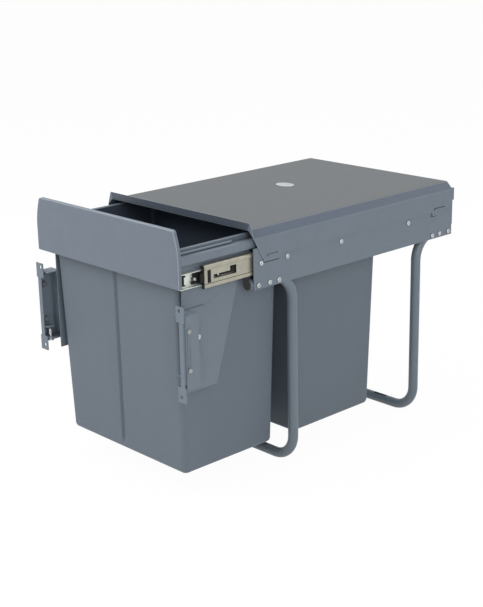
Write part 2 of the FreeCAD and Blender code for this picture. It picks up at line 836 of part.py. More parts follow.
def rear_cross_piece():
    sheet_t = s.plate_sheet
    top = lid_top - s.cross_drop
    ears = [
        box("ear_right", (plate_inner, plate_back + sheet_t, top - s.ear_height),
            (s.plate_face, plate_back + sheet_t + s.ear_depth, top)),
        box("ear_left", (-s.plate_face, plate_back + sheet_t, top - s.ear_height),
            (-plate_inner, plate_back + sheet_t + s.ear_depth, top)),
    ]
    panel = box("cross_panel", (-s.plate_face, plate_back, plate_bottom + s.cross_rise),
                (s.plate_face, plate_back + sheet_t, top))
    return fuse("rear_cross", [panel] + ears)


keep("rear_cross_piece", rear_cross_piece())


# Carriage

def side_rail():
    """Folded rail: web on the slide, a step out over the slide and a shelf back in for the bins."""
    t = s.rail_sheet
    step, top, outer = rail_step, rail_top, rail_face + s.step_width
    edge = s.bin_mouth_half_x + s.shelf_gap
    outline = [
        (rail_inner, rail_bottom), (rail_face, rail_bottom), (rail_face, step), (outer, step),
        (outer, top), (edge, top), (edge, top - t), (outer - t, top - t),
        (outer - t, step + t), (rail_inner, step + t),
    ]
    blank = prism("rail_blank", "XZ", outline, fascia_front + s.fascia_sheet, s.rail_length)
    return cut("rail", blank, [carriage_screw_holes, wing_screw_holes])


keep_both("side_rail", side_rail())

fascia_screw_places = [
    (side * across, fascia_front + s.fascia_sheet + s.rail_sheet, rail_step - s.fascia_screw_drop)
    for side in (-1, 1) for across in (s.fascia_screw_inner, s.fascia_screw_outer)]
fascia_screws, fascia_screw_holes = screws(
    "fascia_screw", fascia_screw_places, "Y", 1, s.rail_sheet + s.fascia_screw_bite)
keep("fascia_screws", fascia_screws)


def fascia_outline(inset):
    """Sides upright, then drawn in by a wide arc to rounded top corners."""
    half = s.fascia_half - inset
    top_half = half - s.fascia_inset
    bottom = slide_level - s.fascia_drop
    low = bottom + inset
    top = bottom + s.fascia_height - inset
    corner = s.fascia_corner - inset
    radius = s.fascia_side_radius
    rise = (radius * radius - (radius - s.fascia_inset) * (radius - s.fascia_inset)).root()
    bend_end = top - corner
    return [
        (-half, low), (half, low), (half, bend_end - rise, radius), (top_half, bend_end, corner),
        (top_half - corner, top), (-(top_half - corner), top, corner), (-top_half, bend_end, radius),
        (-half, bend_end - rise),
    ]


def fascia():
    blank = prism("fascia_blank", "XZ", fascia_outline(as_size(0)), fascia_front, s.fascia_depth)
    hollow = prism("fascia_hollow", "XZ", fascia_outline(s.fascia_sheet),
                   fascia_front + s.fascia_sheet, s.fascia_depth)
    return cut("fascia_panel", blank, [hollow, fascia_screw_holes])


keep("fascia", fascia())


def front_rail():
    start = fascia_front + s.fascia_sheet
    t = s.rail_sheet
    top = rail_step
    plain = fuse("front_rail_blank", [
        box("front_rail_web", (-rail_inner, start, top - s.front_rail_height),
            (rail_inner, start + t, top)),
        box("front_rail_top", (-rail_inner, start, top - t),
            (rail_inner, start + t + s.front_rail_flange, top)),
    ])
    return cut("front_rail", plain, [fascia_screw_holes])


def middle_rail():
    middle = fascia_front + (s.front_bin_place + s.rear_bin_place) / 2
    t = s.rail_sheet
    front, back = middle - s.middle_rail_width / 2, middle + s.middle_rail_width / 2
    low = shelf - s.middle_rail_height
    return fuse("middle_rail", [
        box("middle_rail_top", (-rail_inner, front, shelf - t), (rail_inner, back, shelf)),
        box("middle_rail_front", (-rail_inner, front, low), (rail_inner, front + t, shelf)),
        box("middle_rail_back", (-rail_inner, back - t, low), (rail_inner, back, shelf)),
    ])


def rear_rail():
    t = s.rail_sheet
    return fuse("rear_rail", [
        box("rear_rail_web", (-rail_inner, rail_back - t, rail_bottom), (rail_inner, rail_back, shelf)),
        box("rear_rail_top", (-rail_inner, rail_back - t - s.rear_rail_flange, shelf - t),
            (rail_inner, rail_back, shelf)),
    ])


keep("front_cross_rail", front_rail())
keep("middle_cross_rail", middle_rail())
keep("rear_cross_rail", rear_rail())

# Wings and door brackets: the screws between them first
wing_outer = rail_inner - s.wing_inset
wing_top = rail_step - s.wing_gap
wing_bottom = tray_bottom - s.wing_under_tray
bend_top = rail_bottom - s.wing_bend_drop
bend_bottom = bend_top - s.wing_bend_height
tray_face = wing_outer + s.tray_sheet
tray_screws, tray_screw_holes = screws(
    "tray_screw",
    [(tray_face, fascia_front + s.tray_screw_place, tray_bottom + s.tray_screw_level),
     (tray_face, fascia_front + s.tray_screw_hidden, tray_bottom + s.tray_screw_low),
     (tray_face, fascia_front + s.tray_screw_hidden, tray_bottom + s.tray_screw_high)],
    "X", 1, s.tray_sheet + s.wing_sheet)
keep("tray_screws", group("tray_screw_group", [tray_screws, mirror("tray_screws_mirrored", tray_screws)]))


def wing():
    """Sheet that hangs below the rail. It is set in below the slide, to pass inside the legs."""
    t = s.wing_sheet
    inset = s.wing_inset
    section = prism("wing_section", "XZ", [
        (rail_inner - t, wing_top), (rail_inner - t, bend_top),
        (wing_outer - t, bend_bottom), (wing_outer - t, wing_bottom),
        (wing_outer, wing_bottom), (wing_outer, bend_bottom),
        (rail_inner, bend_top), (rail_inner, wing_top),
    ], fascia_front + s.wing_front, s.wing_rear_top)
    outline = prism("wing_side", "YZ", [
        (fascia_front + s.wing_front, wing_top), (fascia_front + s.wing_front, wing_bottom),
        (fascia_front + s.wing_rear_bottom, wing_bottom),
        (fascia_front + s.wing_rear_top, wing_top),
    ], rail_inner - t - inset - PAST, t + inset + PAST * 2)
    return cut("wing", common("wing_blank", section, outline), [wing_screw_holes, tray_screw_holes])


keep_both("wing", wing())

clamp_inner = s.tray_outer - s.tray_sheet
clamp_levels = [tray_bottom + s.clamp_low, tray_bottom + s.clamp_high]
clamp_screws, clamp_screw_holes = screws(
    "clamp_screw",
    [(s.tray_outer, fascia_front + s.clamp_place, level) for level in clamp_levels],
    "X", 1, s.tray_sheet + s.door_sheet + s.slide_gap * 2 + s.clamp_nut, head=s.clamp_head)


def clamp_nuts():
    """Nuts behind the door plate's flange. They are part of the screws' node."""
    far = clamp_inner - s.door_sheet - s.slide_gap * 2
    return [rod("clamp_nut_%d" % index, (far - s.clamp_nut, fascia_front + s.clamp_place, level),
                s.head_radius, s.clamp_nut, "X")
            for index, level in enumerate(clamp_levels)]


clamps = fuse("clamps", [clamp_screws] + clamp_nuts())
keep("clamp_screws", group("clamp_group", [clamps, mirror("clamps_mirrored", clamps)]))

bolt_x = s.tray_outer - s.bolt_place
bolt_y = fascia_front + s.bolt_behind
bolt_top = tray_bottom + s.bolt_rise


def adjusting_bolt():
    head_low = tray_bottom - s.bolt_head_height
    return fuse("adjusting_bolt", [
        rod("bolt_head", (bolt_x, bolt_y, head_low), s.bolt_head_radius, s.bolt_head_height, "Z"),
        rod("bolt_shank", (bolt_x, bolt_y, head_low), s.bolt_radius, bolt_top - head_low, "Z"),
    ])


bolt = adjusting_bolt()
keep("adjusting_bolts", group("bolt_group", [bolt, mirror("bolt_mirrored", bolt)]))


def bracket_tray():
    """Open tray: outer web, back wall, foot on the wing and the two end plates."""
    t = s.tray_sheet
    low, high = tray_bottom, tray_top
    front, back = fascia_front + s.tray_front, fascia_front + s.tray_back
    blank = fuse("tray_blank", [
        box("tray_web", (clamp_inner, front, low), (s.tray_outer, back, high)),
        box("tray_wall", (wing_outer, back - t, low), (s.tray_outer, back, high)),
        box("tray_foot_part", (wing_outer, back - t, low), (tray_face, fascia_front + s.tray_foot, high)),
        box("tray_upper", (wing_outer, front, high - t), (s.tray_outer, back, high)),
        box("tray_lower", (wing_outer, front, low), (s.tray_outer, back, low + t)),
    ])
    bolt_hole = rod("tray_bolt_hole", (bolt_x, bolt_y, low - PAST), s.bolt_radius + s.screw_gap,
                    t + PAST * 2, "Z")
    return cut("tray", blank, [clamp_screw_holes, tray_screw_holes, bolt_hole])


keep_both("bracket_tray", bracket_tray())


def door_plate():
    """Plate that the cupboard door is screwed to: two drilled tabs, a strip, a flange with slots
    inside the tray's web and a lug over the adjusting bolt."""
    t = s.door_sheet
    front = fascia_front
    flange_x = clamp_inner - s.slide_gap
    outer_tab = s.tray_outer + s.tab_over
    inner_tab = outer_tab - s.tab_width
    top = tray_top + s.plate_over_tray
    bottom = tray_bottom - s.plate_under_tray
    lug_level = bolt_top + s.lug_gap
    blank = fuse("door_plate_blank", [
        box("tab_upper", (inner_tab, front, top - s.tab_height), (outer_tab, front + t, top)),
        box("tab_lower", (inner_tab, front, bottom), (outer_tab, front + t, bottom + s.tab_height)),
        box("strip", (flange_x - s.strip_width, front, bottom + s.tab_height),
            (flange_x, front + t, top - s.tab_height)),
        box("flange", (flange_x - t, front, tray_bottom + s.flange_end_gap),
            (flange_x, front + s.flange_back, tray_top - s.flange_end_gap)),
        box("lug", (bolt_x - s.lug_over, front + t, lug_level),
            (flange_x, front + s.lug_back, lug_level + s.lug_sheet)),
    ])
    tools = []
    for index, level in enumerate(clamp_levels):
        width = s.screw_radius + s.screw_gap * 2
        tools.append(box("clamp_slot_%d" % index,
                         (flange_x - t - PAST, front + s.clamp_place - width,
                          level - width - s.clamp_travel),
                         (flange_x + PAST, front + s.clamp_place + width,
                          level + width + s.clamp_travel)))
    for index, level in enumerate((bottom + s.tab_hole_low, top - s.tab_hole_high)):
        tools.append(rod("tab_hole_%d" % index, (outer_tab - s.tab_hole_edge, front - PAST, level),
                         s.tab_hole_radius, t + PAST * 2, "Y"))
    return cut("door_plate", blank, tools)


keep_both("door_plate", door_plate())


# Bins

def edges_along_height(shape, low, high):
    """Names of the edges that run up the shape between two heights."""
    names = []
    for index, edge in enumerate(shape.Edges, start=1):
        bounds = edge.BoundBox
        steep = bounds.ZLength > 5 * max(bounds.XLength, bounds.YLength, 0.1)
        if steep and bounds.ZMin > low - 0.01 and bounds.ZMax < high + 0.01:
            names.append("Edge%d" % index)
    return names


def edges_at(shape, level):
    names = []
    for index, edge in enumerate(shape.Edges, start=1):
        bounds = edge.BoundBox
        if abs(bounds.ZMin - level) < 0.01 and abs(bounds.ZMax - level) < 0.01:
            names.append("Edge%d" % index)
    return names


def tapered(body, kind, name, base, mouth, low, high):
    """A tapered block up the Z axis of a body, from its base half sizes to its mouth half sizes."""
    item = body.newObject("PartDesign::" + kind, name)
    item.Placement = FreeCAD.Placement(Vector(), FreeCAD.Rotation(UNIT["X"], 90))
    for side, sign in (("min", -1), ("max", 1)):
        bind(item, "X" + side, base[0] * sign)
        bind(item, "X2" + side, mouth[0] * sign)
        bind(item, "Z" + side, base[1] * sign)
        bind(item, "Z2" + side, mouth[1] * sign)
    bind(item, "Ymax", high)
    bind(item, "Ymin", low)
    return item


def rounded(body, name, edges, radius):
    base = body.Tip
    item = body.newObject("PartDesign::Fillet", name)
    item.Base = (base, edges)
    bind(item, "Radius", radius)
    doc.recompute()


def bin_inside(name, base, mouth, height):
    """The space inside a bin: one wall in from the outside, on the floor."""
    body = doc.addObject("PartDesign::Body", name)
    inner_base = [half - s.bin_wall for half in base]
    inner_mouth = [half - s.bin_wall for half in mouth]
    tapered(body, "AdditiveWedge", name + "_block", inner_base, inner_mouth, s.bin_floor, height)
    doc.recompute()
    rounded(body, name + "_corners",
            edges_along_height(body.Tip.Shape, s.bin_floor.value, height.value),
            s.bin_corner - s.bin_wall)
    rounded(body, name + "_floor_edge", edges_at(body.Tip.Shape, s.bin_floor.value),
            s.bin_base_round - s.bin_wall)
    return body


def bin_shell(name, middle_y):
    """Tapered bin with a solid rim that stands out, drawn in local sizes and then set in place."""
    body = doc.addObject("PartDesign::Body", name)
    height = bin_top - bin_bottom
    base = (s.bin_base_half_x, s.bin_base_half_y)
    mouth = (s.bin_mouth_half_x, s.bin_mouth_half_y)
    tapered(body, "AdditiveWedge", name + "_outside", base, mouth, as_size(0), height)
    doc.recompute()
    rounded(body, name + "_corners",
            edges_along_height(body.Tip.Shape, 0, height.value), s.bin_corner)
    rounded(body, name + "_base_edge", edges_at(body.Tip.Shape, 0), s.bin_base_round)
    rim = body.newObject("PartDesign::AdditiveBox", name + "_rim")
    rim_half = [half + s.rim_over for half in mouth]
    bind(rim, "Length", rim_half[0] * 2)
    bind(rim, "Width", rim_half[1] * 2)
    bind(rim, "Height", s.rim_height)
    put(rim, (-rim_half[0], -rim_half[1], height - s.rim_height))
    doc.recompute()
    outer = rim_half[0].value - 0.01
    corners = [edge for edge in edges_along_height(
        body.Tip.Shape, height.value - s.rim_height.value, height.value)
        if body.Tip.Shape.getElement(edge).BoundBox.XMax > outer
        or body.Tip.Shape.getElement(edge).BoundBox.XMin < -outer]
    rounded(body, name + "_rim_corners", corners, s.bin_corner + s.rim_over)
    groove = body.newObject("PartDesign::SubtractiveBox", name + "_groove")
    lean = (mouth[1] - base[1]) / height
    bind(groove, "Length", s.groove_width)
    bind(groove, "Width", s.groove_depth * 4)
    bind(groove, "Height", height - s.groove_floor - s.groove_top)
    put(groove, (-s.groove_place - s.groove_width / 2,
                 -(base[1] + s.groove_floor * lean) - s.groove_depth * 3, s.groove_floor))
    tilt(groove, lean)
    doc.recompute()
    for side in (-1, 1):
        hole = body.newObject("PartDesign::SubtractiveCylinder", "%s_pivot_%d" % (name, side + 1))
        depth = s.stub_depth + s.wire_gap
        bind(hole, "Radius", s.wire_radius + s.pin_gap)
        bind(hole, "Height", depth + PAST)
        start = rim_half[0] - depth if side > 0 else -rim_half[0] - PAST
        put(hole, (start, 0, pivot_level - bin_bottom), ALONG["X"])
        doc.recompute()
    inside = bin_inside(name + "_inside", base, mouth, height)
    for part in (body, inside):
        put(part, (0, middle_y, bin_bottom))
    return cut(name + "_shell", body, [inside])


def tilt(item, lean):
    """Leans an upright block outwards with the bin's wall."""
    item.Placement = FreeCAD.Placement(item.Placement.Base, FreeCAD.Rotation(UNIT["X"], 0))
    item.setExpression("Placement.Rotation.Angle", "atan(%s)" % lean.text)
    item.Placement.Rotation = FreeCAD.Rotation(UNIT["X"], 1)


pivot_level = rail_top + s.wire_lift + s.wire_radius
front_bin_y = fascia_front + s.front_bin_place
rear_bin_y = fascia_front + s.rear_bin_place
keep("front_bin", bin_shell("front_bin_body", front_bin_y))
keep("rear_bin", bin_shell("rear_bin_body", rear_bin_y))


def handle(name, middle_y):
    """Wire handle folded down round the front half of a bin's rim, with stubs in the rim."""
    r, bend = s.wire_radius, s.wire_bend
    rim_x = s.bin_mouth_half_x + s.rim_over
    arm_x = rim_x + s.wire_gap + r
    front_y = middle_y - s.bin_mouth_half_y - s.rim_over - s.wire_gap - r
    z = pivot_level
    half = [
        rod(name + "_stub", (rim_x - s.stub_depth, middle_y, z), r, arm_x - rim_x + s.stub_depth, "X"),
        ball(name + "_knuckle", (arm_x, middle_y, z), r),
        rod(name + "_arm", (arm_x, front_y + bend, z), r, middle_y - front_y - bend, "Y"),
        elbow(name + "_bend", (arm_x - bend, front_y + bend, z), bend, r, -UNIT["Y"], UNIT["X"]),
    ]
    grip = rod(name + "_grip", (bend - arm_x, front_y, z), r, (arm_x - bend) * 2, "X")
    return fuse(name, half + [mirror(part.Name + "_mirrored", part) for part in half] + [grip])


keep("front_handle", handle("front_handle_wire", front_bin_y))
keep("rear_handle", handle("rear_handle_wire", rear_bin_y))

doc.recompute()
failed = [item.Name for item in doc.Objects if "Invalid" in item.State or "Error" in item.State]
for name, item in pieces.items():
    if item.Shape.isNull() or not item.Shape.isValid():
        failed.append(name)
if failed:
    raise RuntimeError("failed: " + ", ".join(failed))

os.makedirs("parts", exist_ok=True)
for name, item in pieces.items():
    item.Shape.exportStep(os.path.join("parts", name + ".step"))
print("%d pieces" % len(pieces))
for name, item in pieces.items():
    bounds = item.Shape.BoundBox
    print("%-22s solids %2d  volume %9.0f  x %7.1f %7.1f  y %7.1f %7.1f  z %6.1f %6.1f" % (
        name, len(item.Shape.Solids), item.Shape.Volume, bounds.XMin, bounds.XMax, bounds.YMin,
        bounds.YMax, bounds.ZMin, bounds.ZMax))
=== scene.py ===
import json
import math

import bpy
import numpy as np
from mathutils import Euler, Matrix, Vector


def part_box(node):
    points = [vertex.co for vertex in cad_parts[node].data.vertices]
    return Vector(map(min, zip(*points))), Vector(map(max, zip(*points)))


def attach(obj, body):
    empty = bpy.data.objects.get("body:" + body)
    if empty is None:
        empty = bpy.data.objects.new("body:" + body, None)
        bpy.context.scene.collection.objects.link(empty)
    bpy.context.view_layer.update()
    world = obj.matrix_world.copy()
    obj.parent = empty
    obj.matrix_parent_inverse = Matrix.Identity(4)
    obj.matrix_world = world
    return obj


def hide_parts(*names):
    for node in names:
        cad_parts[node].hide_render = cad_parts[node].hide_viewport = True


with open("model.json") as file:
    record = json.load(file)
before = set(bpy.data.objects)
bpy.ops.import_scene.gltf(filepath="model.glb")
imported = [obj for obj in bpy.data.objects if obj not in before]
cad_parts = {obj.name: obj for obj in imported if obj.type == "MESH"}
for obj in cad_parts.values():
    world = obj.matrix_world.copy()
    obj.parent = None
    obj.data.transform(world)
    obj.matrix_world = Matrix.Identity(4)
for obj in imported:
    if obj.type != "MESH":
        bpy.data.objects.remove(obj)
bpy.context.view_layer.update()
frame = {"nodes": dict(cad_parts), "record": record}
print("stage: frame loaded")

mm = 0.001
close = 0.1 * mm        # a margin for comparing places
inwards = 20 * mm        # a point this far behind a sheet is on its inner side

# Places that the pieces share, in metres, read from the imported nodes
plateLow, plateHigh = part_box("side_plate_right")
fasciaLow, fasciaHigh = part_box("fascia")
lidLow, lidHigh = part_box("lid")
bodyOf = {node: body for body, nodes in frame["record"]["behaviour"]["bodies"].items() for node in nodes}
slotOf = {part["node"]: part["material_slot"] for part in frame["record"]["subparts"]}


# Helpers for surfaces. A surface is an array of points on a grid of rows and columns.

def meshObject(name, points, quads, fills=(), smooth=True):
    # Four-cornered faces and flat fills, each given by the numbers of its points, made an object.
    # Points that no face uses are dropped.
    points = np.asarray(points, float).reshape(-1, 3)
    quads = np.asarray(quads).reshape(-1, 4)
    used = np.unique(np.concatenate([quads.ravel()] + [np.asarray(fill) for fill in fills]))
    renumber = np.zeros(len(points), int)
    renumber[used] = np.arange(len(used))
    faces = renumber[quads].tolist() + [renumber[np.asarray(fill)].tolist() for fill in fills]
    mesh = bpy.data.meshes.new(name)
    mesh.from_pydata(points[used].tolist(), [], faces)
    mesh.update()
    mesh.polygons.foreach_set("use_smooth", np.arange(len(faces)) < (len(quads) if smooth else 0))
    item = bpy.data.objects.new(name, mesh)
    bpy.context.scene.collection.objects.link(item)
    return item


def gridQuads(rows, columns, closed=False):
    # Cell (i, j) joins points (i, j), (i, j+1), (i+1, j+1) and (i+1, j). Closed joins the last column
    # to the first one.
    i, j = np.meshgrid(np.arange(rows - 1), np.arange(columns if closed else columns - 1), indexing="ij")
    after = (j + 1) % columns
    return np.stack((i * columns + j, i * columns + after, (i + 1) * columns + after,
                     (i + 1) * columns + j), axis=-1)


def roundedPath(corners, radii, steps=8):
    # Straight runs through the corners. At each corner with a radius the path turns on a circle arc
    # that touches both runs: its points swing evenly from one touching point to the other.
    corners = np.asarray(corners, float)
    pieces = [corners[:1]]
    for before, here, after, radius in zip(corners[:-2], corners[1:-1], corners[2:], radii):
        back = (before - here) / np.linalg.norm(before - here)
        onward = (after - here) / np.linalg.norm(after - here)
        half = math.acos(np.clip(back @ onward, -1, 1)) / 2
        if radius <= 0:
            pieces.append(here[None])
            continue
        middle = here + (back + onward) / np.linalg.norm(back + onward) * radius / math.sin(half)
        start = here + back * radius / math.tan(half) - middle
        end = here + onward * radius / math.tan(half) - middle
        turn = math.pi - 2 * half
        t = np.linspace(0, 1, steps + 1)[:, None]
        pieces.append(middle + (np.sin((1 - t) * turn) * start + np.sin(t * turn) * end) / math.sin(turn))
    pieces.append(corners[-1:])
    return np.concatenate(pieces)


def divided(path, longest):
    # The same path with points added, so that no step is longer than the given length
    pieces = [path[:1]]
    for a, b in zip(path[:-1], path[1:]):
        count = max(1, math.ceil(np.linalg.norm(b - a) / longest))
        pieces.append(a + (b - a) * np.linspace(0, 1, count + 1)[1:, None])
    return np.concatenate(pieces)


def mirroredAcross(path):
    # A path from the right side to the middle plane, carried on to its mirror image on the left
    return np.concatenate((path, path[-2::-1] * (-1, 1)))


def soften(item, width, angle=40, segments=2):
    # Rounds the edges that turn by more than the angle
    bevel = item.modifiers.new("edges", "BEVEL")
    bevel.width = width
    bevel.segments = segments
    bevel.limit_method = "ANGLE"
    bevel.angle_limit = math.radians(angle)
    bevel.use_clamp_overlap = True
    bevel.harden_normals = True


def thicken(item, thickness, edge, rimSlot=0):
    # Sheet metal: the surface is the outside and the thickness goes inwards. rimSlot is added to a
    # face's own slot for its cut edges.
    solid = item.modifiers.new("thickness", "SOLIDIFY")
    solid.thickness = thickness
    solid.offset = -1.0
    solid.use_even_offset = True
    solid.material_offset_rim = rimSlot
    soften(item, edge)


def faceOutwards(item, inside):
    # Turns all faces over if, added up by area, they look towards the point inside
    polygons = item.data.polygons
    areas, normals, centres = (np.zeros(len(polygons) * size) for size in (1, 3, 3))
    polygons.foreach_get("area", areas)
    polygons.foreach_get("normal", normals)
    polygons.foreach_get("center", centres)
    ways = centres.reshape(-1, 3) - np.array(inside)
    if (areas * (normals.reshape(-1, 3) * ways).sum(axis=1)).sum() < 0:
        item.data.flip_normals()


def roundBar(name, path, radius, sides=20):
    # A bar along a level path: round each point a circle stands square to the path, spanned by the
    # upright and by the sideways direction there
    way = np.gradient(path, axis=0)
    way /= np.linalg.norm(way, axis=1)[:, None]
    aside = np.cross(way, (0, 0, 1))
    turn = np.arange(sides) * 2 * math.pi / sides
    ring = np.cos(turn)[None, :, None] * aside[:, None, :] + np.sin(turn)[None, :, None] * np.array((0, 0, 1))
    points = path[:, None, :] + radius * ring
    count = len(path) * sides
    item = meshObject(name, points, gridQuads(len(path), sides, closed=True),
                      (range(sides), range(count - 1, count - 1 - sides, -1)))
    faceOutwards(item, path.mean(axis=0))
    return item


# Materials

class Shader:
    # A node material built up step by step. Its textures read Object coordinates.

    def __init__(self, name):
        self.material = bpy.data.materials.new(name)
        self.material.use_nodes = True
        self.tree = self.material.node_tree
        self.body = self.tree.nodes["Principled BSDF"]
        self.place = self.tree.nodes.new("ShaderNodeTexCoord").outputs["Object"]

    def add(self, kind, **values):
        node = self.tree.nodes.new(kind)
        for key, value in values.items():
            setattr(node, key, value)
        return node

    def link(self, start, end):
        self.tree.links.new(start, end)

    def noise(self, scale, detail=3, rough=0.55, stretch=None):
        # Fractal noise. A stretch below 1 draws it out along that axis.
        node = self.add("ShaderNodeTexNoise")
        node.inputs["Scale"].default_value = scale
        node.inputs["Detail"].default_value = detail
        node.inputs["Roughness"].default_value = rough
        source = self.place
        if stretch:
            mapping = self.add("ShaderNodeMapping")
            mapping.inputs["Scale"].default_value = stretch
            self.link(source, mapping.inputs["Vector"])
            source = mapping.outputs["Vector"]
        self.link(source, node.inputs["Vector"])
        return node.outputs["Fac"]

    def band(self, value, low, high, fromLow=0.3, fromHigh=0.7):
        # Low to high in a straight line, as the value goes through the middle of a noise's range
        node = self.add("ShaderNodeMapRange")
        node.inputs["From Min"].default_value = fromLow
        node.inputs["From Max"].default_value = fromHigh
        node.inputs["To Min"].default_value = low
        node.inputs["To Max"].default_value = high
        self.link(value, node.inputs["Value"])
        return node.outputs["Result"]

    def mix(self, share, first, second):
        # The first colour where the share is 0, the second where it is 1. Sockets 6 and 7 take colours.
        node = self.add("ShaderNodeMix", data_type="RGBA")
        node.inputs[6].default_value = first
        node.inputs[7].default_value = second
        self.link(share, node.inputs[0])
        return node.outputs[2]

    def bump(self, height, distance, under=None):
        # The normal tilted by the height's slope, over the normal of the bump under it
        node = self.add("ShaderNodeBump")
        node.inputs["Distance"].default_value = distance
        self.link(height, node.inputs["Height"])
        if under is not None:
            self.link(under, node.inputs["Normal"])
        return node.outputs["Normal"]


def shade(colour, factor):
    # The colour made darker or lighter, with full alpha
    return tuple(min(1.0, part * factor) for part in colour) + (1.0,)


# Noise scales in cycles a metre, and how far the colour and the roughness stray
coatValues = {"mottle": 38, "tint": 0.025, "gloss": 90, "peel": 900, "finePeel": 3200, "fineShare": 0.4}
plasticValues = {"flow": 16, "flowStretch": (1.0, 1.0, 0.16), "gloss": 220, "grain": 2400,
                 "grainRough": 0.65, "smoother": 0.04, "rougher": 0.06}
metalValues = {"cloud": 60, "drawing": 700, "smoother": 0.06, "rougher": 0.10}


def powderCoat(name, colour, roughness=0.44, peel=0.00002, uneven=0.05, gloss=0.45):
    # Powder coat: a faint mottle of the colour, orange peel in two sizes and an uneven gloss
    s, v = Shader(name), coatValues
    mottle = s.band(s.noise(v["mottle"], 4), 0.0, 1.0)
    tones = shade(colour, 1 - v["tint"]), shade(colour, 1 + v["tint"])
    s.link(s.mix(mottle, *tones), s.body.inputs["Base Color"])
    s.link(s.band(s.noise(v["gloss"], 3), roughness - uneven, roughness + uneven), s.body.inputs["Roughness"])
    coarse = s.bump(s.noise(v["peel"], 2), peel)
    fine = s.bump(s.noise(v["finePeel"], 2), peel * v["fineShare"], under=coarse)
    s.link(fine, s.body.inputs["Normal"])
    s.body.inputs["Specular IOR Level"].default_value = gloss
    return s.material


def mouldedPlastic(name, colour, roughness=0.50, grain=0.00003, streak=0.025, gloss=0.38):
    # Moulded plastic: fine grain and faint flow streaks down the walls
    s, v = Shader(name), plasticValues
    flow = s.band(s.noise(v["flow"], 3, stretch=v["flowStretch"]), 0.0, 1.0)
    s.link(s.mix(flow, shade(colour, 1 - streak), shade(colour, 1 + streak)), s.body.inputs["Base Color"])
    uneven = s.band(s.noise(v["gloss"], 3), roughness - v["smoother"], roughness + v["rougher"])
    s.link(uneven, s.body.inputs["Roughness"])
    s.link(s.bump(s.noise(v["grain"], 3, v["grainRough"]), grain), s.body.inputs["Normal"])
    s.body.inputs["Specular IOR Level"].default_value = gloss
    return s.material


def drawnMetal(name, colour, cloudy, roughness, stretch, metallic=1.0, lines=0.00001):
    # Plated steel: cloudy plating in two tones and drawing lines along the stretched axis
    s, v = Shader(name), metalValues
    cloud = s.band(s.noise(v["cloud"], 4), 0.0, 1.0)
    s.link(s.mix(cloud, shade(colour, 1.0), shade(cloudy, 1.0)), s.body.inputs["Base Color"])
    s.body.inputs["Metallic"].default_value = metallic
    grain = s.noise(v["drawing"], 3, stretch=stretch)
    s.link(s.band(grain, roughness - v["smoother"], roughness + v["rougher"]), s.body.inputs["Roughness"])
    s.link(s.bump(grain, lines), s.body.inputs["Normal"])
    return s.material


finishes = {
    "frame": (0.124, 0.153, 0.184), "leg": (0.126, 0.158, 0.186), "carriage": (0.126, 0.155, 0.186),
    "fascia": (0.119, 0.145, 0.179), "edge": (0.215, 0.245, 0.290), "seamShade": (0.040, 0.047, 0.058),
    "lidTop": (0.093, 0.101, 0.106), "lip": (0.060, 0.075, 0.098), "shoulder": (0.062, 0.084, 0.116),
    "fold": (0.140, 0.150, 0.162), "badge": (0.33, 0.35, 0.38), "badgeRim": (0.60, 0.62, 0.67),
    "bin": (0.103, 0.126, 0.153), "binInsideShade": (0.042, 0.054, 0.077), "black": (0.012, 0.012, 0.013),
    "plug": (0.058, 0.055, 0.055), "slide": (0.66, 0.69, 0.65), "slideCloud": (0.56, 0.59, 0.53),
    "slideWarm": (0.42, 0.405, 0.335), "slideWarmCloud": (0.34, 0.33, 0.27),
    "darkZinc": (0.030, 0.030, 0.032), "stepShade": (0.055, 0.050, 0.038), "cage": (0.42, 0.43, 0.44),
    "cageCloud": (0.3612, 0.3698, 0.3784), "ball": (0.75, 0.75, 0.76), "screw": (0.52, 0.54, 0.55),
    "screwCloud": (0.40, 0.42, 0.43), "dullSteel": (0.30, 0.31, 0.31),
}
alongY = (1.0, 0.03, 1.0)        # drawing lines run along Y
everyWay = (1.0, 1.0, 1.0)
materials = {
    "frame_paint": powderCoat("framePaint", finishes["frame"]),
    # painted light: the lid's top takes a warm grey in place of the warm light it reflects from above
    "lid_paint": powderCoat("lidTopLitPaint", finishes["lidTop"], 0.50, peel=0.000006, uneven=0.01, gloss=0.25),
    "carriage_paint": powderCoat("carriagePaint", finishes["carriage"]),
    "fascia_paint": powderCoat("fasciaPaint", finishes["fascia"]),
    "handle_wire": powderCoat("wireCoat", finishes["carriage"], 0.38),
    "badge_plate": powderCoat("badgeFace", finishes["badge"], 0.30),
    "bin_plastic": mouldedPlastic("binPlastic", finishes["bin"]),
    "black_plastic": mouldedPlastic("blackPlastic", finishes["black"], 0.42, grain=0.00002, gloss=0.12),
    "slide_zinc": drawnMetal("slideZinc", finishes["slide"], finishes["slideCloud"], 0.36, alongY,
                             metallic=0.75),
    "slide_zinc_warm": drawnMetal("slideZincWarm", finishes["slideWarm"], finishes["slideWarmCloud"], 0.36,
                                  alongY, metallic=0.75),
    "cage_steel": drawnMetal("cageSteel", finishes["cage"], finishes["cageCloud"], 0.32, alongY),
    "ball_steel": drawnMetal("ballSteel", finishes["ball"], finishes["ball"], 0.12, everyWay, lines=0.000001),
    "screw_steel": drawnMetal("screwSteel", finishes["screw"], finishes["screwCloud"], 0.24, everyWay),
}
# painted shade: the lid lip's front is painted darker than the frame for the shade it lies in
lipShadePaint = powderCoat("lipShadePaint", finishes["lip"])
edgeHighlightPaint = powderCoat("edgeHighlightPaint", finishes["edge"], 0.36)        # painted highlight: a lighter coat on folds, bends and cut edges where they catch the light
seamShadowPaint = powderCoat("seamShadowPaint", finishes["seamShade"], 0.60)        # painted shade: cut edges that lie in their own shadow are painted dark
# painted shade: the lid's slanted shoulder is painted darker and bluer than the frame
shoulderShadePaint = powderCoat("shoulderShadePaint", finishes["shoulder"])
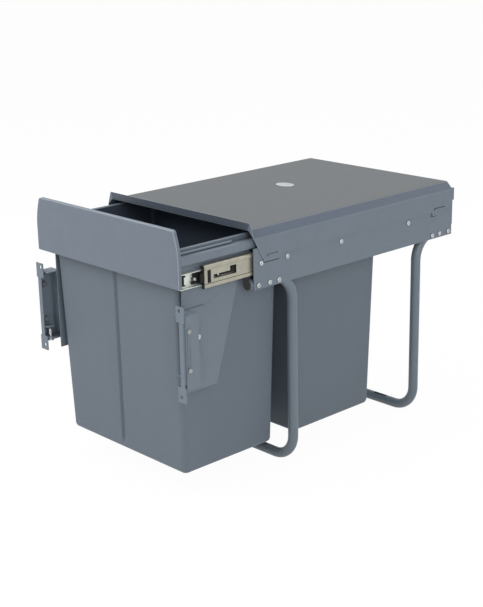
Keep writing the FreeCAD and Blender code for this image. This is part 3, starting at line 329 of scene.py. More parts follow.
# painted highlight: a lighter line along the fold between the lid's top and its shoulder
foldHighlightPaint = powderCoat("foldHighlightPaint", finishes["fold"], 0.38)
legPaint = powderCoat("legPaint", finishes["leg"], 0.40, peel=0.000004, uneven=0.01)
badgeRim = powderCoat("badgeRim", finishes["badgeRim"], 0.26, peel=0.000005)
# painted shade for the bins' inner walls and floor
binInsideShade = mouldedPlastic("binInsideShade", finishes["binInsideShade"], 0.45)
plugPlastic = mouldedPlastic("plugPlastic", finishes["plug"], 0.55)
darkZinc = drawnMetal("darkZinc", finishes["darkZinc"], finishes["black"], 0.40, alongY)
dullSteel = drawnMetal("dullSteel", finishes["dullSteel"], finishes["cage"], 0.45, everyWay)
# painted shade for the step faces of the middle slides
slideStepShade = mouldedPlastic("slideStepShade", finishes["stepShade"], 0.35)
print("stage: materials")


def give(item, slotName, body, extra=(), replaced=None):
    # A new piece's materials, the slot they stand for, the body it rides on and the node it replaces
    for material in (materials[slotName], *extra):
        item.data.materials.append(material)
    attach(item, body)
    if replaced:
        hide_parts(replaced)
    return item


# Nodes that stay: finished, and most of them merged and softened at their edges. The plates, legs and
# balls shade best as they come.

nodeValues = {"weld": 0.000004, "sheetEdge": 0.35 * mm, "smallEdge": 0.6 * mm, "angle": 42, "flatWeight": 100,
              "asTheyCome": ("balls", "side_plate", "front_leg", "rear_leg"),
              "small": ("screws", "pins", "bolts")}
ownFinish = {"tube_plugs": plugPlastic, "front_leg": legPaint, "rear_leg": legPaint,
             "clamp_screws": dullSteel, "slide_outer_right": darkZinc, "slide_outer_left": darkZinc}

for nodeName, node in frame["nodes"].items():
    node.data.materials.clear()
    node.data.materials.append(ownFinish.get(nodeName, materials[slotOf[nodeName]]))
    if any(word in nodeName for word in nodeValues["asTheyCome"]):
        continue
    weld = node.modifiers.new("weld", "WELD")
    weld.merge_threshold = nodeValues["weld"]
    small = any(word in nodeName for word in nodeValues["small"])
    soften(node, nodeValues["smallEdge" if small else "sheetEdge"], nodeValues["angle"])
    flats = node.modifiers.new("flats", "WEIGHTED_NORMAL")
    flats.weight = nodeValues["flatWeight"]
print("stage: nodes that stay")


# Bins

binValues = {
    "baseHalf": (138.5 * mm, 90.5 * mm), "mouthHalf": (146 * mm, 100.5 * mm), "wall": 2.5 * mm,
    "floor": 3 * mm, "corner": 10 * mm, "rimOver": 4 * mm, "rimHeight": 8 * mm, "baseRound": 8 * mm,
    "rimRound": 1.6 * mm, "floorRound": 4 * mm, "cornerSteps": 10, "sideCells": 26, "rows": 60,
    "insideRows": 24, "fluteLow": 9 * mm, "fluteHigh": 303 * mm, "fluteFade": 8 * mm,
    "fluteHalf": 5.4 * mm, "fluteFlank": 4.6 * mm, "fluteDepth": 3.8 * mm, "fluteFoot": -6.6 * mm,
    "fluteLean": 0.031, "fluteSpan": (-8 * mm, 18 * mm), "fluteCells": 66, "quarterPoints": 9,
    "rimTuck": 0.6 * mm, "rimTurn": 0.8 * mm, "rimTurnMiddle": (0.25 * mm, 0.2 * mm), "leastCorner": 0.4 * mm,
}


def loopPattern(cells, steps, frontShares):
    # A rounded rectangle anticlockwise from its front left corner. A point is the rectangle of the
    # corner arcs' middles times its first pair, plus the corner radius times its second pair, a
    # direction. The front side has shares of its own.
    middles = np.array([(-1, -1), (1, -1), (1, 1), (-1, 1)], float)
    mixes, ways = [], []
    for side in range(4):
        start, end = middles[side], middles[(side + 1) % 4]
        shares = frontShares if side == 0 else np.arange(cells + 1) / cells
        mixes.append(start + (end - start) * shares[:, None])
        facing = -math.pi / 2 + side * math.pi / 2
        turn = np.concatenate((np.full(len(shares), facing),
                               facing + np.arange(1, steps) / steps * math.pi / 2))
        mixes.append(np.repeat(end[None], steps - 1, axis=0))
        ways.append(np.column_stack((np.cos(turn), np.sin(turn))))
    return np.concatenate(mixes), np.concatenate(ways)


def binStations(height):
    # The profile as columns: height, reach out from the leaning outside wall, share of the flute.
    # It goes round the bottom edge, up the wall, over the rim, down the inside and round to the floor.
    v = binValues
    r, q, rimLow = v["baseRound"], v["rimRound"], height - v["rimHeight"]
    tuck, turn, middle = v["rimTuck"], v["rimTurn"], v["rimTurnMiddle"]
    quarter = np.linspace(0, math.pi / 2, v["quarterPoints"])
    foot = np.column_stack((r * (1 - np.cos(quarter)), r * (np.sin(quarter) - 1)))
    wallLevels = np.linspace(r, rimLow - tuck, v["rows"] + 1)[1:]
    wall = np.column_stack((wallLevels, np.zeros(v["rows"])))
    step = np.array([(rimLow, tuck), (rimLow, v["rimOver"] - turn),
                     (rimLow + middle[0], v["rimOver"] - middle[1]), (rimLow + turn, v["rimOver"])])
    crown = np.column_stack((height - q + q * np.sin(quarter), v["rimOver"] - q + q * np.cos(quarter)))
    lip = np.column_stack((height - q + q * np.cos(quarter), q - v["wall"] - q * np.sin(quarter)))
    insideFoot = v["floor"] + v["floorRound"]
    inside = np.column_stack((np.linspace(height - q, insideFoot, v["insideRows"] + 1)[1:],
                              np.full(v["insideRows"], -v["wall"])))
    curl = v["floorRound"] * (1 - np.cos(quarter[1:])), v["floorRound"] * (1 - np.sin(quarter[1:]))
    floor = np.column_stack((v["floor"] + curl[1], -v["wall"] - curl[0]))
    profile = np.concatenate((foot, wall, step, crown, lip, inside, floor))
    level = profile[:, 0]
    fade = np.minimum(level - v["fluteLow"], v["fluteHigh"] - level) / v["fluteFade"]
    onWall = profile[:, 1] <= 0
    return np.column_stack((profile, np.where(onWall, np.clip(fade, 0, 1), 0)))


def binShell(name, node):
    # The loop carried along the profile. Its half sizes grow evenly with the height, and round the
    # flute's leaning middle line the front wall is pressed in by a smooth step of the distance from it.
    v = binValues
    low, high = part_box(node)
    height = high.z - low.z
    straight = 2 * (v["mouthHalf"][0] - v["corner"])
    fluteSpan = v["fluteFoot"] + np.linspace(*v["fluteSpan"], v["fluteCells"])
    evenShares = np.arange(v["sideCells"] + 1) / v["sideCells"]
    shares = np.union1d(np.round(0.5 + fluteSpan / straight, 6), evenShares)
    mixes, ways = loopPattern(v["sideCells"], v["cornerSteps"], shares)
    stations = binStations(height)
    level, reach, flute = stations[:, 0], stations[:, 1], stations[:, 2]
    share = np.where(reach > 0, 1.0, level / height)
    base, mouth = np.array(v["baseHalf"]), np.array(v["mouthHalf"])
    half = base + (mouth - base) * share[:, None] + reach[:, None]
    corner = np.maximum(v["corner"] + reach, v["leastCorner"])[:, None, None]
    loops = mixes * (half[:, None, :] - corner) + corner * ways
    away = np.abs(loops[:, :, 0] - (v["fluteFoot"] + v["fluteLean"] * level)[:, None])
    dip = np.clip((v["fluteHalf"] - away) / v["fluteFlank"], 0, 1)
    dip = dip * dip * (3 - 2 * dip) * flute[:, None] * v["fluteDepth"]
    loops[:, :, 1] += np.where(np.isclose(ways[:, 1], -1), dip, 0)
    centre = ((low.x + high.x) / 2, (low.y + high.y) / 2)
    levels = np.repeat(level[:, None], loops.shape[1], axis=1) + low.z
    points = np.dstack((loops[:, :, 0] + centre[0], loops[:, :, 1] + centre[1], levels))
    rows, columns = levels.shape
    last = rows * columns
    item = meshObject(name, points, gridQuads(rows, columns, closed=True),
                      (range(columns - 1, -1, -1), range(last - columns, last)))
    # Inner wall and floor faces take the darker coat: painted shade inside the bin.
    within = (reach < close - v["wall"]) & (level > v["floor"] - close)
    slots = np.append(np.repeat(within[:-1] & within[1:], columns), (False, True))
    item.data.polygons.foreach_set("material_index", slots)
    faceOutwards(item, (*centre, low.z + height / 2))
    return give(item, "bin_plastic", bodyOf[node], (binInsideShade,), node)


binShell("frontBin", "front_bin")
binShell("rearBin", "rear_bin")
print("stage: bins")


# Wire handles

wireValues = {"radius": 2 * mm, "bend": 12 * mm, "stub": 5.5 * mm, "knee": 3 * mm, "step": 8 * mm}


def wireHandle(name, node):
    # A round bar along the handle's middle line: stub, knee, arm, bend, grip and back on the left
    low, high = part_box(node)
    v, r = wireValues, wireValues["radius"]
    armX, frontY, backY = high.x - r, low.y + r, high.y - r
    corners = [(armX - v["stub"], backY), (armX, backY), (armX, frontY), (-armX, frontY), (-armX, backY),
               (v["stub"] - armX, backY)]
    flat = divided(roundedPath(corners, [v["knee"], v["bend"], v["bend"], v["knee"]], 10), v["step"])
    path = np.column_stack((flat, np.full(len(flat), (low.z + high.z) / 2)))
    return give(roundBar(name, path, r), "handle_wire", bodyOf[node], replaced=node)


wireHandle("frontWire", "front_handle")
wireHandle("rearWire", "rear_handle")
print("stage: handles")


# Lid

lidValues = {
    "half": 171 * mm, "fold": 12 * mm, "sheet": 1.0 * mm, "shoulderBend": 3.4 * mm, "topBend": 6.0 * mm,
    "skirtDrop": 44.2 * mm, "tongueDrop": 49.7 * mm, "slant": 18 * mm, "strip": 0.9 * mm, "edge": 0.25 * mm,
    "foldLine": (0.3 * mm, 0.6 * mm), "rows": 18, "rowSpan": (60 * mm, 400 * mm), "shelfCells": 17,
    "extraDrops": (30 * mm, 22 * mm), "tongues": ((19 * mm, 52 * mm), (408 * mm, 423 * mm)),
    "beside": 0.8 * mm, "flare": 1.3 * mm,
    "reliefs": ((28 * mm, 48 * mm, 38.6 * mm, 40.4 * mm), (25 * mm, 28 * mm, 38.6 * mm, 42.4 * mm),
                (416 * mm, 441 * mm, 37.0 * mm, 38.8 * mm), (413 * mm, 416 * mm, 37.0 * mm, 41.2 * mm)),
}
lipValues = {"inset": 7.8 * mm, "height": 10 * mm, "foot": 1.5 * mm, "bend": 2.5 * mm, "outerIn": 0.4 * mm,
             "innerIn": 0.4 * mm, "innerDown": 0.3 * mm, "innerUp": 0.5 * mm, "underTop": 0.8 * mm}
backValues = {"drop": 26 * mm, "inset": 0.5 * mm, "underTop": 1.2 * mm, "points": 9}
badgeValues = {"rings": 8, "sides": 48, "dome": 0.75, "eye": 0.02, "rimRings": 2}
lidTop = lidLow.z + lidValues["tongueDrop"]


def lidShell():
    # The lid's section, rounded at its folds, drawn out along Y. Its front end runs back with the
    # drop below the shoulder, and the rear tongues' lower ends stand out. Cells stay open between the
    # tongues and at the relief slots.
    v = lidValues
    half, fold = v["half"], v["fold"]
    slotDrops = sorted((drop for slot in v["reliefs"] for drop in slot[2:]), reverse=True)
    drops = [v["tongueDrop"], v["skirtDrop"], *slotDrops, *v["extraDrops"]]
    side = np.array([(half, lidTop - drop) for drop in drops[:-1]])
    corners = [(half, lidTop - drops[-1]), (half, lidTop - fold), (half - fold, lidTop), (0, lidTop)]
    bends = roundedPath(corners, [v["shoulderBend"], v["topBend"]])[:-1]
    shelf = np.linspace(bends[-1][0], 0, v["shelfCells"] + 1)[1:]
    right = np.concatenate((side, bends, np.column_stack((shelf, np.full(len(shelf), lidTop)))))
    path = mirroredAcross(right)
    depth = lidHigh.y - lidLow.y
    (_, frontEnd), (rearStart, rearEnd) = v["tongues"]
    ends = {mark for pair in (*v["tongues"], *v["reliefs"]) for mark in pair[:2]}
    ends |= {frontEnd + v["beside"], rearStart - v["beside"], rearEnd + v["beside"]}
    marks = np.array(sorted({0, v["strip"], depth} | ends | set(np.linspace(*v["rowSpan"], v["rows"]))))
    x, z = path[:, 0], path[:, 1]
    along = np.repeat(marks[:, None], len(path), axis=1)
    along[:2] += np.clip((lidTop - fold - z) / (v["skirtDrop"] - fold), 0, 1) * v["slant"]
    rearTongue = (marks >= rearStart) & (marks <= rearEnd)
    flare = np.outer(rearTongue, z < lidTop - v["skirtDrop"] - close) * np.sign(x) * v["flare"]
    points = np.dstack((x + flare, lidLow.y + along, np.broadcast_to(z, along.shape)))
    drop = (lidTop - (z[1:] + z[:-1]) / 2)[None, :]
    middle = ((marks[1:] + marks[:-1]) / 2)[:, None]
    tongued = np.any([(middle > a) & (middle < b) for a, b in v["tongues"]], axis=0)
    slotted = np.any([(middle > a) & (middle < b) & (drop > c) & (drop < d)
                      for a, b, c, d in v["reliefs"]], axis=0)
    keep = ~((drop > v["skirtDrop"]) & ~tongued) & ~slotted
    item = meshObject("lidShell", points, gridQuads(len(marks), len(path))[keep])
    out = np.broadcast_to(np.abs(x[1:] + x[:-1])[None, :] / 2, keep.shape)
    down = np.broadcast_to(drop, keep.shape)
    first = np.broadcast_to(middle < v["strip"], keep.shape)
    # Slots: 0 top (painted warm light), 3 fold (painted highlight), 2 shoulder (painted shade), 4 front strip
    # of the skirt (painted highlight), 1 rest of the skirt (frame paint)
    slots = np.select([out < half - fold - v["foldLine"][0], out < half - fold + v["foldLine"][1],
                       down < fold - v["foldLine"][1], first], [0, 3, 2, 4], 1)
    item.data.polygons.foreach_set("material_index", slots[keep])
    faceOutwards(item, (0, (lidLow.y + lidHigh.y) / 2, lidLow.z))
    coats = (materials["frame_paint"], shoulderShadePaint, foldHighlightPaint, edgeHighlightPaint, seamShadowPaint)
    thicken(item, v["sheet"], v["edge"], rimSlot=len(coats) - 1)        # all cut edges end up in seamShadowPaint
    return give(item, "lid_paint", "frame", coats, "lid")


def lidLip():
    # The upstand at the lid's front: a flat band between the lid's section and its own rounded outline
    v = lipValues
    half, fold, sheet = lidValues["half"], lidValues["fold"], lidValues["sheet"]
    top = lidTop + v["height"]
    corners = [(half - v["outerIn"], lidTop - fold + v["foot"]), (half - v["inset"], top), (0, top)]
    outer = roundedPath(corners, [v["bend"]])
    share = np.linspace(0, 1, len(outer) - 1)
    inner = np.column_stack((half - sheet - (fold - v["innerIn"]) * share,
                             lidTop - fold - v["innerDown"] + (fold - v["innerUp"]) * share))
    inner = np.concatenate((inner, [(0, lidTop - v["underTop"])]))
    bands = np.stack((mirroredAcross(inner), mirroredAcross(outer)))
    points = np.insert(bands, 1, lidLow.y, axis=2)
    item = meshObject("lidLip", points, gridQuads(2, bands.shape[1]), smooth=False)
    middle = np.abs(bands[1, 1:, 0] + bands[1, :-1, 0]) / 2
    # The middle of the lip takes the painted-shade coat, its slanted ends the frame paint, and its cut edges
    # the painted highlight.
    item.data.polygons.foreach_set("material_index", middle > half - v["inset"] - v["bend"])
    faceOutwards(item, (0, lidLow.y + inwards, lidTop))
    thicken(item, sheet, lidValues["edge"], rimSlot=2)
    for coat in (lipShadePaint, materials["frame_paint"], edgeHighlightPaint):
        item.data.materials.append(coat)
    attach(item, "frame")
    return item


def lidBack():
    # The fold at the lid's back: a plain band down from the top
    v = backValues
    across = np.linspace(-1, 1, v["points"]) * (lidValues["half"] - lidValues["fold"] - v["inset"])
    x, z = np.meshgrid(across, (lidTop - v["drop"], lidTop - v["underTop"]))
    points = np.dstack((x, np.full(x.shape, lidHigh.y), z))
    item = meshObject("lidBack", points, gridQuads(2, v["points"]), smooth=False)
    faceOutwards(item, (0, lidHigh.y - inwards, lidTop))
    thicken(item, lidValues["sheet"], lidValues["edge"])
    return give(item, "frame_paint", "frame")


def badgePlate():
    # A blank oval: its height falls with the fourth power of the share of the radius, to an edge
    v = badgeValues
    low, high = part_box("lid_badge")
    rings, sides = v["rings"], v["sides"]
    turn = (np.arange(sides) * 2 * math.pi / sides)[None, :]
    share = np.maximum(1 - np.arange(rings + 1) / rings, v["eye"])[:, None]
    z = high.z - (high.z - low.z) * v["dome"] * share ** 4
    x = (low.x + high.x) / 2 + (high.x - low.x) / 2 * share * np.cos(turn)
    y = (low.y + high.y) / 2 + (high.y - low.y) / 2 * share * np.sin(turn)
    points = np.dstack((x, y, np.broadcast_to(z, x.shape)))
    skirt = points[:1].copy()
    skirt[:, :, 2] = low.z
    count = (rings + 2) * sides
    item = meshObject("badge", np.concatenate((skirt, points)), gridQuads(rings + 2, sides, closed=True),
                      (range(count - sides, count), range(sides - 1, -1, -1)))
    onRim = np.arange(len(item.data.polygons)) < v["rimRings"] * sides
    item.data.polygons.foreach_set("material_index", onRim)
    faceOutwards(item, ((low.x + high.x) / 2, (low.y + high.y) / 2, low.z))
    return give(item, "badge_plate", "frame", (badgeRim,), "lid_badge")


lidShell()
lidLip()
lidBack()
badgePlate()
print("stage: lid")


# Fascia

fasciaValues = {
    "inset": 7.5 * mm, "sideRadius": 113 * mm, "corner": 6 * mm, "lowCorner": 2.6 * mm, "bend": 2.2 * mm,
    "sheet": 1.5 * mm, "edge": 0.25 * mm, "sideSteps": 16, "cornerSteps": 8, "bendSteps": 7, "columns": 40,
    "litSteps": 3, "uprightStep": 8 * mm,
}


def fasciaSide(inset):
    # The right half of the outline, upwards from the low corner: a small arc, an upright, the wide
    # arc inwards and the top corner's arc. An inset shrinks it evenly.
    v = fasciaValues
    half, low, top = fasciaHigh.x - inset, fasciaLow.z + inset, fasciaHigh.z - inset
    radius, corner, lowCorner = v["sideRadius"], v["corner"] - inset, v["lowCorner"] - inset
    reach = math.acos(1 - v["inset"] / radius)
    bendEnd = top - corner
    start = bendEnd - radius * math.sin(reach)
    quarter = np.linspace(0, math.pi / 2, v["cornerSteps"] + 1)
    foot = np.column_stack((half - lowCorner * (1 - np.sin(quarter)),
                            low + lowCorner * (1 - np.cos(quarter))))
    sweep = np.linspace(0, reach, v["sideSteps"])
    side = np.column_stack((half - radius * (1 - np.cos(sweep)), start + radius * np.sin(sweep)))
    turn = quarter[1:]
    crown = np.column_stack((side[-1][0] - corner * (1 - np.cos(turn)), bendEnd + corner * np.sin(turn)))
    upright = divided(np.stack((foot[-1], side[0])), v["uprightStep"])
    return np.concatenate((foot, upright[1:], side[1:], crown))


def fasciaShell():
    # The face is a grid: each level of the half outline is spread across in even columns. Its border,
    # taken as a loop, is carried round the bend and back as the return. The bend's last steps get a painted
    # highlight.
    v = fasciaValues
    spread = np.linspace(-1, 1, v["columns"] + 1)[None, :]

    def face(inset, y):
        side = fasciaSide(inset)
        x = side[:, :1] * spread
        return np.dstack((x, np.full(x.shape, y), np.broadcast_to(side[:, 1:], x.shape)))

    grid = np.arange(len(fasciaSide(0)) * (v["columns"] + 1)).reshape(-1, v["columns"] + 1)
    border = np.concatenate((grid[0], grid[1:, -1], grid[-1, -2::-1], grid[-2:0:-1, 0]))
    front, back, bend = fasciaLow.y, fasciaHigh.y, v["bend"]
    turn = np.linspace(0, math.pi / 2, v["bendSteps"])[1:]
    insets = np.concatenate((bend * (1 - np.sin(turn)), [0]))
    places = np.concatenate((front + bend * (1 - np.cos(turn)), [back]))
    plate = face(bend, front).reshape(-1, 3)
    rings = [face(inset, y).reshape(-1, 3)[border] for inset, y in zip(insets, places)]
    points = np.concatenate([plate] + rings)
    faceQuads = gridQuads(*grid.shape).reshape(-1, 4)
    ringQuads = gridQuads(len(rings) + 1, len(border), closed=True).reshape(-1, 4)[:, ::-1]
    ringIndex = np.concatenate((border, len(plate) + np.arange(len(rings) * len(border))))
    item = meshObject("fasciaShell", points, np.concatenate((faceQuads, ringIndex[ringQuads])))
    slots = np.zeros(len(faceQuads) + len(ringQuads), int)
    slots[-len(border) * (1 + v["litSteps"]):-len(border)] = 1
    item.data.polygons.foreach_set("material_index", slots)
    faceOutwards(item, (0, back + inwards, (fasciaLow.z + fasciaHigh.z) / 2))
    thicken(item, v["sheet"], v["edge"])
    return give(item, "fascia_paint", "carriage", (edgeHighlightPaint,), "fascia")


fasciaShell()
print("stage: fascia")


# Slides: the middle members' rolled section, and the hook and catch on the inner members

slideValues = {
    "sheet": 0.8 * mm, "corner": 2.0 * mm, "sink": 0.95 * mm, "bandLow": 10.3 * mm, "bandHigh": 10.9 * mm,
    "slot": (18 * mm, 62 * mm, -5.5 * mm, 0.5 * mm), "notch": (50 * mm, 62 * mm, 0.5 * mm, 7 * mm),
    "slit": (6.5 * mm, 13 * mm, -10 * mm, 9 * mm), "edge": 0.12 * mm, "rows": 16, "rowsFrom": 75 * mm,
    "rowsUntil": 10 * mm, "stepShare": 0.9, "stepHeight": 1.0 * mm,
}


def middleMember(name, node, side):
    # The rolled section drawn out along Y: flange, round corner, raised band for the balls, a step
    # down and the sunk web, and the same mirrored below. Cells stay open at the slot with its notch
    # and at the slit.
    v = slideValues
    low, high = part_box(node)
    outerX, innerX = (high.x, low.x) if side > 0 else (low.x, high.x)
    level, half = (low.z + high.z) / 2, (high.z - low.z) / 2
    sunk = outerX - v["sink"] * side
    band = roundedPath([(innerX, half), (outerX, half), (outerX, v["bandHigh"])], [v["corner"]])
    openings = (v["slot"], v["notch"], v["slit"])
    stops = {v["bandLow"], -v["bandLow"]} | {edge for one in openings for edge in one[2:]}
    stops = sorted(stops, reverse=True)
    path = np.concatenate((band, [(sunk, stop) for stop in stops], band[::-1] * (1, -1)))
    length = high.y - low.y
    marks = {0, length} | {edge for one in openings for edge in one[:2]}
    marks |= set(np.linspace(v["rowsFrom"], length - v["rowsUntil"], v["rows"]))
    marks = np.array(sorted(marks))
    x = np.broadcast_to(path[:, 0], (len(marks), len(path)))
    z = np.broadcast_to(path[:, 1] + level, x.shape)
    y = np.broadcast_to(low.y + marks[:, None], x.shape)
    cellZ = ((path[1:, 1] + path[:-1, 1]) / 2)[None, :]
    middle = ((marks[1:] + marks[:-1]) / 2)[:, None]
    cutOut = np.any([(middle > a) & (middle < b) & (cellZ > c) & (cellZ < d)
                     for a, b, c, d in openings], axis=0)
    item = meshObject(name, np.dstack((x, y, z)), gridQuads(len(marks), len(path))[~cutOut])
    # The small step faces take a dark coat: painted shade along the steps of the rolled section.
    stepped = np.abs(path[1:, 0] - path[:-1, 0]) > v["sink"] * v["stepShare"]
    stepped &= np.abs(path[1:, 1] - path[:-1, 1]) < v["stepHeight"]
    stepped &= np.abs(path[1:, 1]) < half - v["corner"]
    slots = np.broadcast_to(stepped[None, :], cutOut.shape)[~cutOut]
    item.data.polygons.foreach_set("material_index", slots.astype(int))
    faceOutwards(item, (innerX - inwards * side, (low.y + high.y) / 2, level))
    thicken(item, v["sheet"], v["edge"])
    return give(item, "slide_zinc_warm", bodyOf[node], (slideStepShade,), node)


# Low and high corners of the blocks on the right inner member, in mm: distance out from its web,
# distance behind the fascia, height over the slide's middle. First the hook, then the catch.
catchValues = {
    "blocks": (((0, 8.6, -7.5), (3.0, 11.0, 7.5)), ((0, 10.8, 5.3), (3.0, 14.0, 7.5)),
               ((0, 10.8, -7.5), (3.0, 13.2, -5.6)), ((0, 33.0, -7.8), (3.6, 40.0, 7.8)),
               ((0, 28.5, 2.4), (3.2, 33.2, 7.4)), ((0, 25.5, -7.8), (3.2, 33.2, -3.2))),
    "pin": ((3.4, 28.0, -2.6), (4.4, 32.5, 1.6)), "edge": 0.5 * mm, "web": 1.2 * mm,
}


def blockPiece(name, blocks, slotName, side):
    # Plain blocks side by side. Corner k of a block takes its low or its high value along X, Y and Z
    # by the three binary digits of k.
    pick = (np.arange(8)[:, None] >> np.arange(3)) & 1
    ends = np.array(blocks) * mm
    corners = ends[:, 0, None, :] + pick * (ends[:, 1] - ends[:, 0])[:, None, :]
    low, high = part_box("slide_inner_right")
    corners += (low.x + catchValues["web"], fasciaHigh.y, (low.z + high.z) / 2)
    sides = np.array([(0, 2, 3, 1), (4, 5, 7, 6), (0, 1, 5, 4), (2, 6, 7, 3), (0, 4, 6, 2), (1, 3, 7, 5)])
    quads = (np.arange(len(blocks)) * 8)[:, None, None] + sides[:, ::side]
    item = meshObject(name, corners * (side, 1, 1), quads, smooth=False)
    soften(item, catchValues["edge"])
    return give(item, slotName, "carriage")


for side, sideName in ((1, "Right"), (-1, "Left")):
    middleMember("middleSlide" + sideName, "slide_middle_" + sideName.lower(), side)
    blockPiece("slideCatch" + sideName, catchValues["blocks"], "black_plastic", side)
    blockPiece("catchPin" + sideName, (catchValues["pin"],), "screw_steel", side)
print("stage: slides")


# Screws

screwValues = {"radius": 4 * mm, "height": 2 * mm, "crossHalf": 0.55 * mm, "crossReach": 2.1 * mm,
               "crossDepth": 1.2 * mm, "armFade": 0.3 * mm, "reachFade": 0.4 * mm, "rings": 14, "sides": 48,
               "eye": 0.015, "legOffsets": (9, 32, 51), "legRise": 6 * mm,
               "slideOffsets": (14.8, 69, 187, 348), "slideDrop": 24 * mm}


def screwHeads(name, node, places):
    # Pan heads that stand out along X on both sides. The height over the seat falls with the fifth
    # power of the radius, less a cross recess that fades at its edges.
    v = screwValues
    share = np.maximum(1 - np.arange(v["rings"] + 1) / v["rings"], v["eye"])[:, None]
    turn = (np.arange(v["sides"]) * 2 * math.pi / v["sides"])[None, :]
    y, z = v["radius"] * share * np.cos(turn), v["radius"] * share * np.sin(turn)
    arm, reach = np.minimum(np.abs(y), np.abs(z)), np.maximum(np.abs(y), np.abs(z))
    cross = np.clip((v["crossHalf"] - arm) / v["armFade"] + 0.5, 0, 1)
    cross *= np.clip((v["crossReach"] - reach) / v["reachFade"], 0, 1)
    rise = v["height"] * np.sqrt(1 - share ** 5) - v["crossDepth"] * cross
    head = np.dstack((rise, y, z)).reshape(-1, 3)
    quads = gridQuads(v["rings"] + 1, v["sides"], closed=True).reshape(-1, 4)
    points, faces, fills = [], [], []
    for place in places:
        for side in (1, -1):
            start = len(points) * len(head)
            points.append((head + np.array(place)) * (side, 1, 1))
            faces.append(quads[:, ::side] + start)
            fills.append((np.arange(len(head) - v["sides"], len(head)) + start)[::side])
            fills.append((np.arange(v["sides"]) + start)[::-side])
    item = meshObject(name, np.concatenate(points), np.concatenate(faces), fills)
    return give(item, "screw_steel", bodyOf[node], replaced=node)


legLevel = plateLow.z + screwValues["legRise"]
slideLevel = plateHigh.z - screwValues["slideDrop"]
legPlaces = [(plateHigh.x, plateLow.y + offset * mm, legLevel) for offset in screwValues["legOffsets"]]
legPlaces += [(plateHigh.x, plateHigh.y - offset * mm, legLevel) for offset in screwValues["legOffsets"]]
slidePlaces = [(plateHigh.x, plateLow.y + offset * mm, slideLevel) for offset in screwValues["slideOffsets"]]
screwHeads("legScrewHeads", "leg_screws", legPlaces)
screwHeads("slideScrewHeads", "slide_screws", slidePlaces)
print("stage: screws")


# Floor, light and camera

floorValues = {"reach": 30, "tones": ((0.93, 0.93, 0.93, 1), (0.96, 0.96, 0.96, 1)), "mottle": 3,
               "roughness": 0.7, "glow": 0.97}


def seenShare(tree):
    # 1 for rays from the camera and for mirrored or refracted rays, else 0
    rays = tree.nodes.new("ShaderNodeLightPath")
    share = rays.outputs["Is Camera Ray"]
    for kind in ("Is Glossy Ray", "Is Transmission Ray"):
        larger = tree.nodes.new("ShaderNodeMath")
        larger.operation = "MAXIMUM"
        tree.links.new(share, larger.inputs[0])
        tree.links.new(rays.outputs[kind], larger.inputs[1])
        share = larger.outputs[0]
    return share


def groundPlane():
    # A wide plain floor. To the camera and in mirrorings it mostly glows, so that it looks nearly white.
    v = floorValues
    x, y = np.meshgrid((-v["reach"], v["reach"]), (-v["reach"], v["reach"]))
    item = meshObject("floor", np.dstack((x, y, np.zeros(x.shape))), gridQuads(2, 2), smooth=False)
    s = Shader("floorPaint")
    mottle = s.band(s.noise(v["mottle"], 3), 0.0, 1.0)
    s.link(s.mix(mottle, *v["tones"]), s.body.inputs["Base Color"])
    s.body.inputs["Roughness"].default_value = v["roughness"]
    glow = s.add("ShaderNodeEmission")
    share = s.add("ShaderNodeMath", operation="MULTIPLY")
    share.inputs[1].default_value = v["glow"]
    s.link(seenShare(s.tree), share.inputs[0])
    both = s.add("ShaderNodeMixShader")
    s.link(share.outputs[0], both.inputs[0])
    s.link(s.body.outputs[0], both.inputs[1])
    s.link(glow.outputs[0], both.inputs[2])
    s.link(both.outputs[0], s.tree.nodes["Material Output"].inputs["Surface"])
    item.data.materials.append(s.material)


groundPlane()

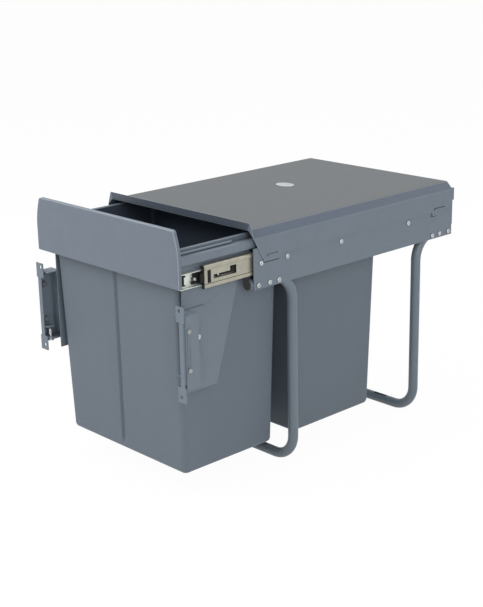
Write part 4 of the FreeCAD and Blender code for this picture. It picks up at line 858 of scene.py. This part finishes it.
# Place, size and power of each lamp. All aim at the middle of the unit.
lampAim = Vector((0, -0.1, 0.25))
lightValues = {
    "key": ((-0.9, -1.9, 2.1), 1.6, 50), "fill": ((2.4, -1.2, 1.3), 1.8, 30),
    "top": ((0.1, 0.4, 2.6), 2.0, 25), "rim": ((1.2, 2.2, 1.4), 1.2, 10),
}
for lightName, (place, size, power) in lightValues.items():
    lamp = bpy.data.lights.new(lightName, "AREA")
    lamp.energy = power
    lamp.size = size
    lampObject = bpy.data.objects.new(lightName, lamp)
    lampObject.location = place
    lampObject.rotation_euler = (lampAim - Vector(place)).to_track_quat("-Z", "Y").to_euler()
    bpy.context.scene.collection.objects.link(lampObject)

worldValues = {"colour": (0.95, 0.97, 1.0, 1), "strength": 0.38}
world = bpy.data.worlds.new("studio")
bpy.context.scene.world = world
world.use_nodes = True
tree = world.node_tree
soft = tree.nodes["Background"]
soft.inputs["Color"].default_value = worldValues["colour"]
soft.inputs["Strength"].default_value = worldValues["strength"]
seen = tree.nodes.new("ShaderNodeBackground")        # white past the unit and in mirrorings
seen.inputs["Color"].default_value = (1, 1, 1, 1)
seen.inputs["Strength"].default_value = 1.0
mixer = tree.nodes.new("ShaderNodeMixShader")
tree.links.new(seenShare(tree), mixer.inputs[0])
tree.links.new(soft.outputs[0], mixer.inputs[1])
tree.links.new(seen.outputs[0], mixer.inputs[2])
tree.links.new(mixer.outputs[0], tree.nodes["World Output"].inputs["Surface"])

# The photo's camera: place in metres, turn about Z, downward pitch and roll in radians
cameraValues = {"place": (1.46141, -1.46182, 0.83642), "turn": 0.82142, "pitch": 0.29968, "roll": -0.02043,
                "lens": 75.647, "sensor": 36.0, "clipStart": 0.05}
cameraData = bpy.data.cameras.new("camera")
cameraData.lens = cameraValues["lens"]
cameraData.sensor_width = cameraValues["sensor"]
cameraData.clip_start = cameraValues["clipStart"]
camera = bpy.data.objects.new("camera", cameraData)
camera.location = cameraValues["place"]
turned = Euler((math.pi / 2 - cameraValues["pitch"], 0, cameraValues["turn"]), "XYZ").to_quaternion()
rolled = Euler((0, 0, cameraValues["roll"]), "XYZ").to_quaternion()
camera.rotation_mode = "QUATERNION"
camera.rotation_quaternion = turned @ rolled
bpy.context.scene.collection.objects.link(camera)
bpy.context.scene.camera = camera
bpy.context.scene.view_settings.view_transform = "Standard"
print("stage: light and camera")
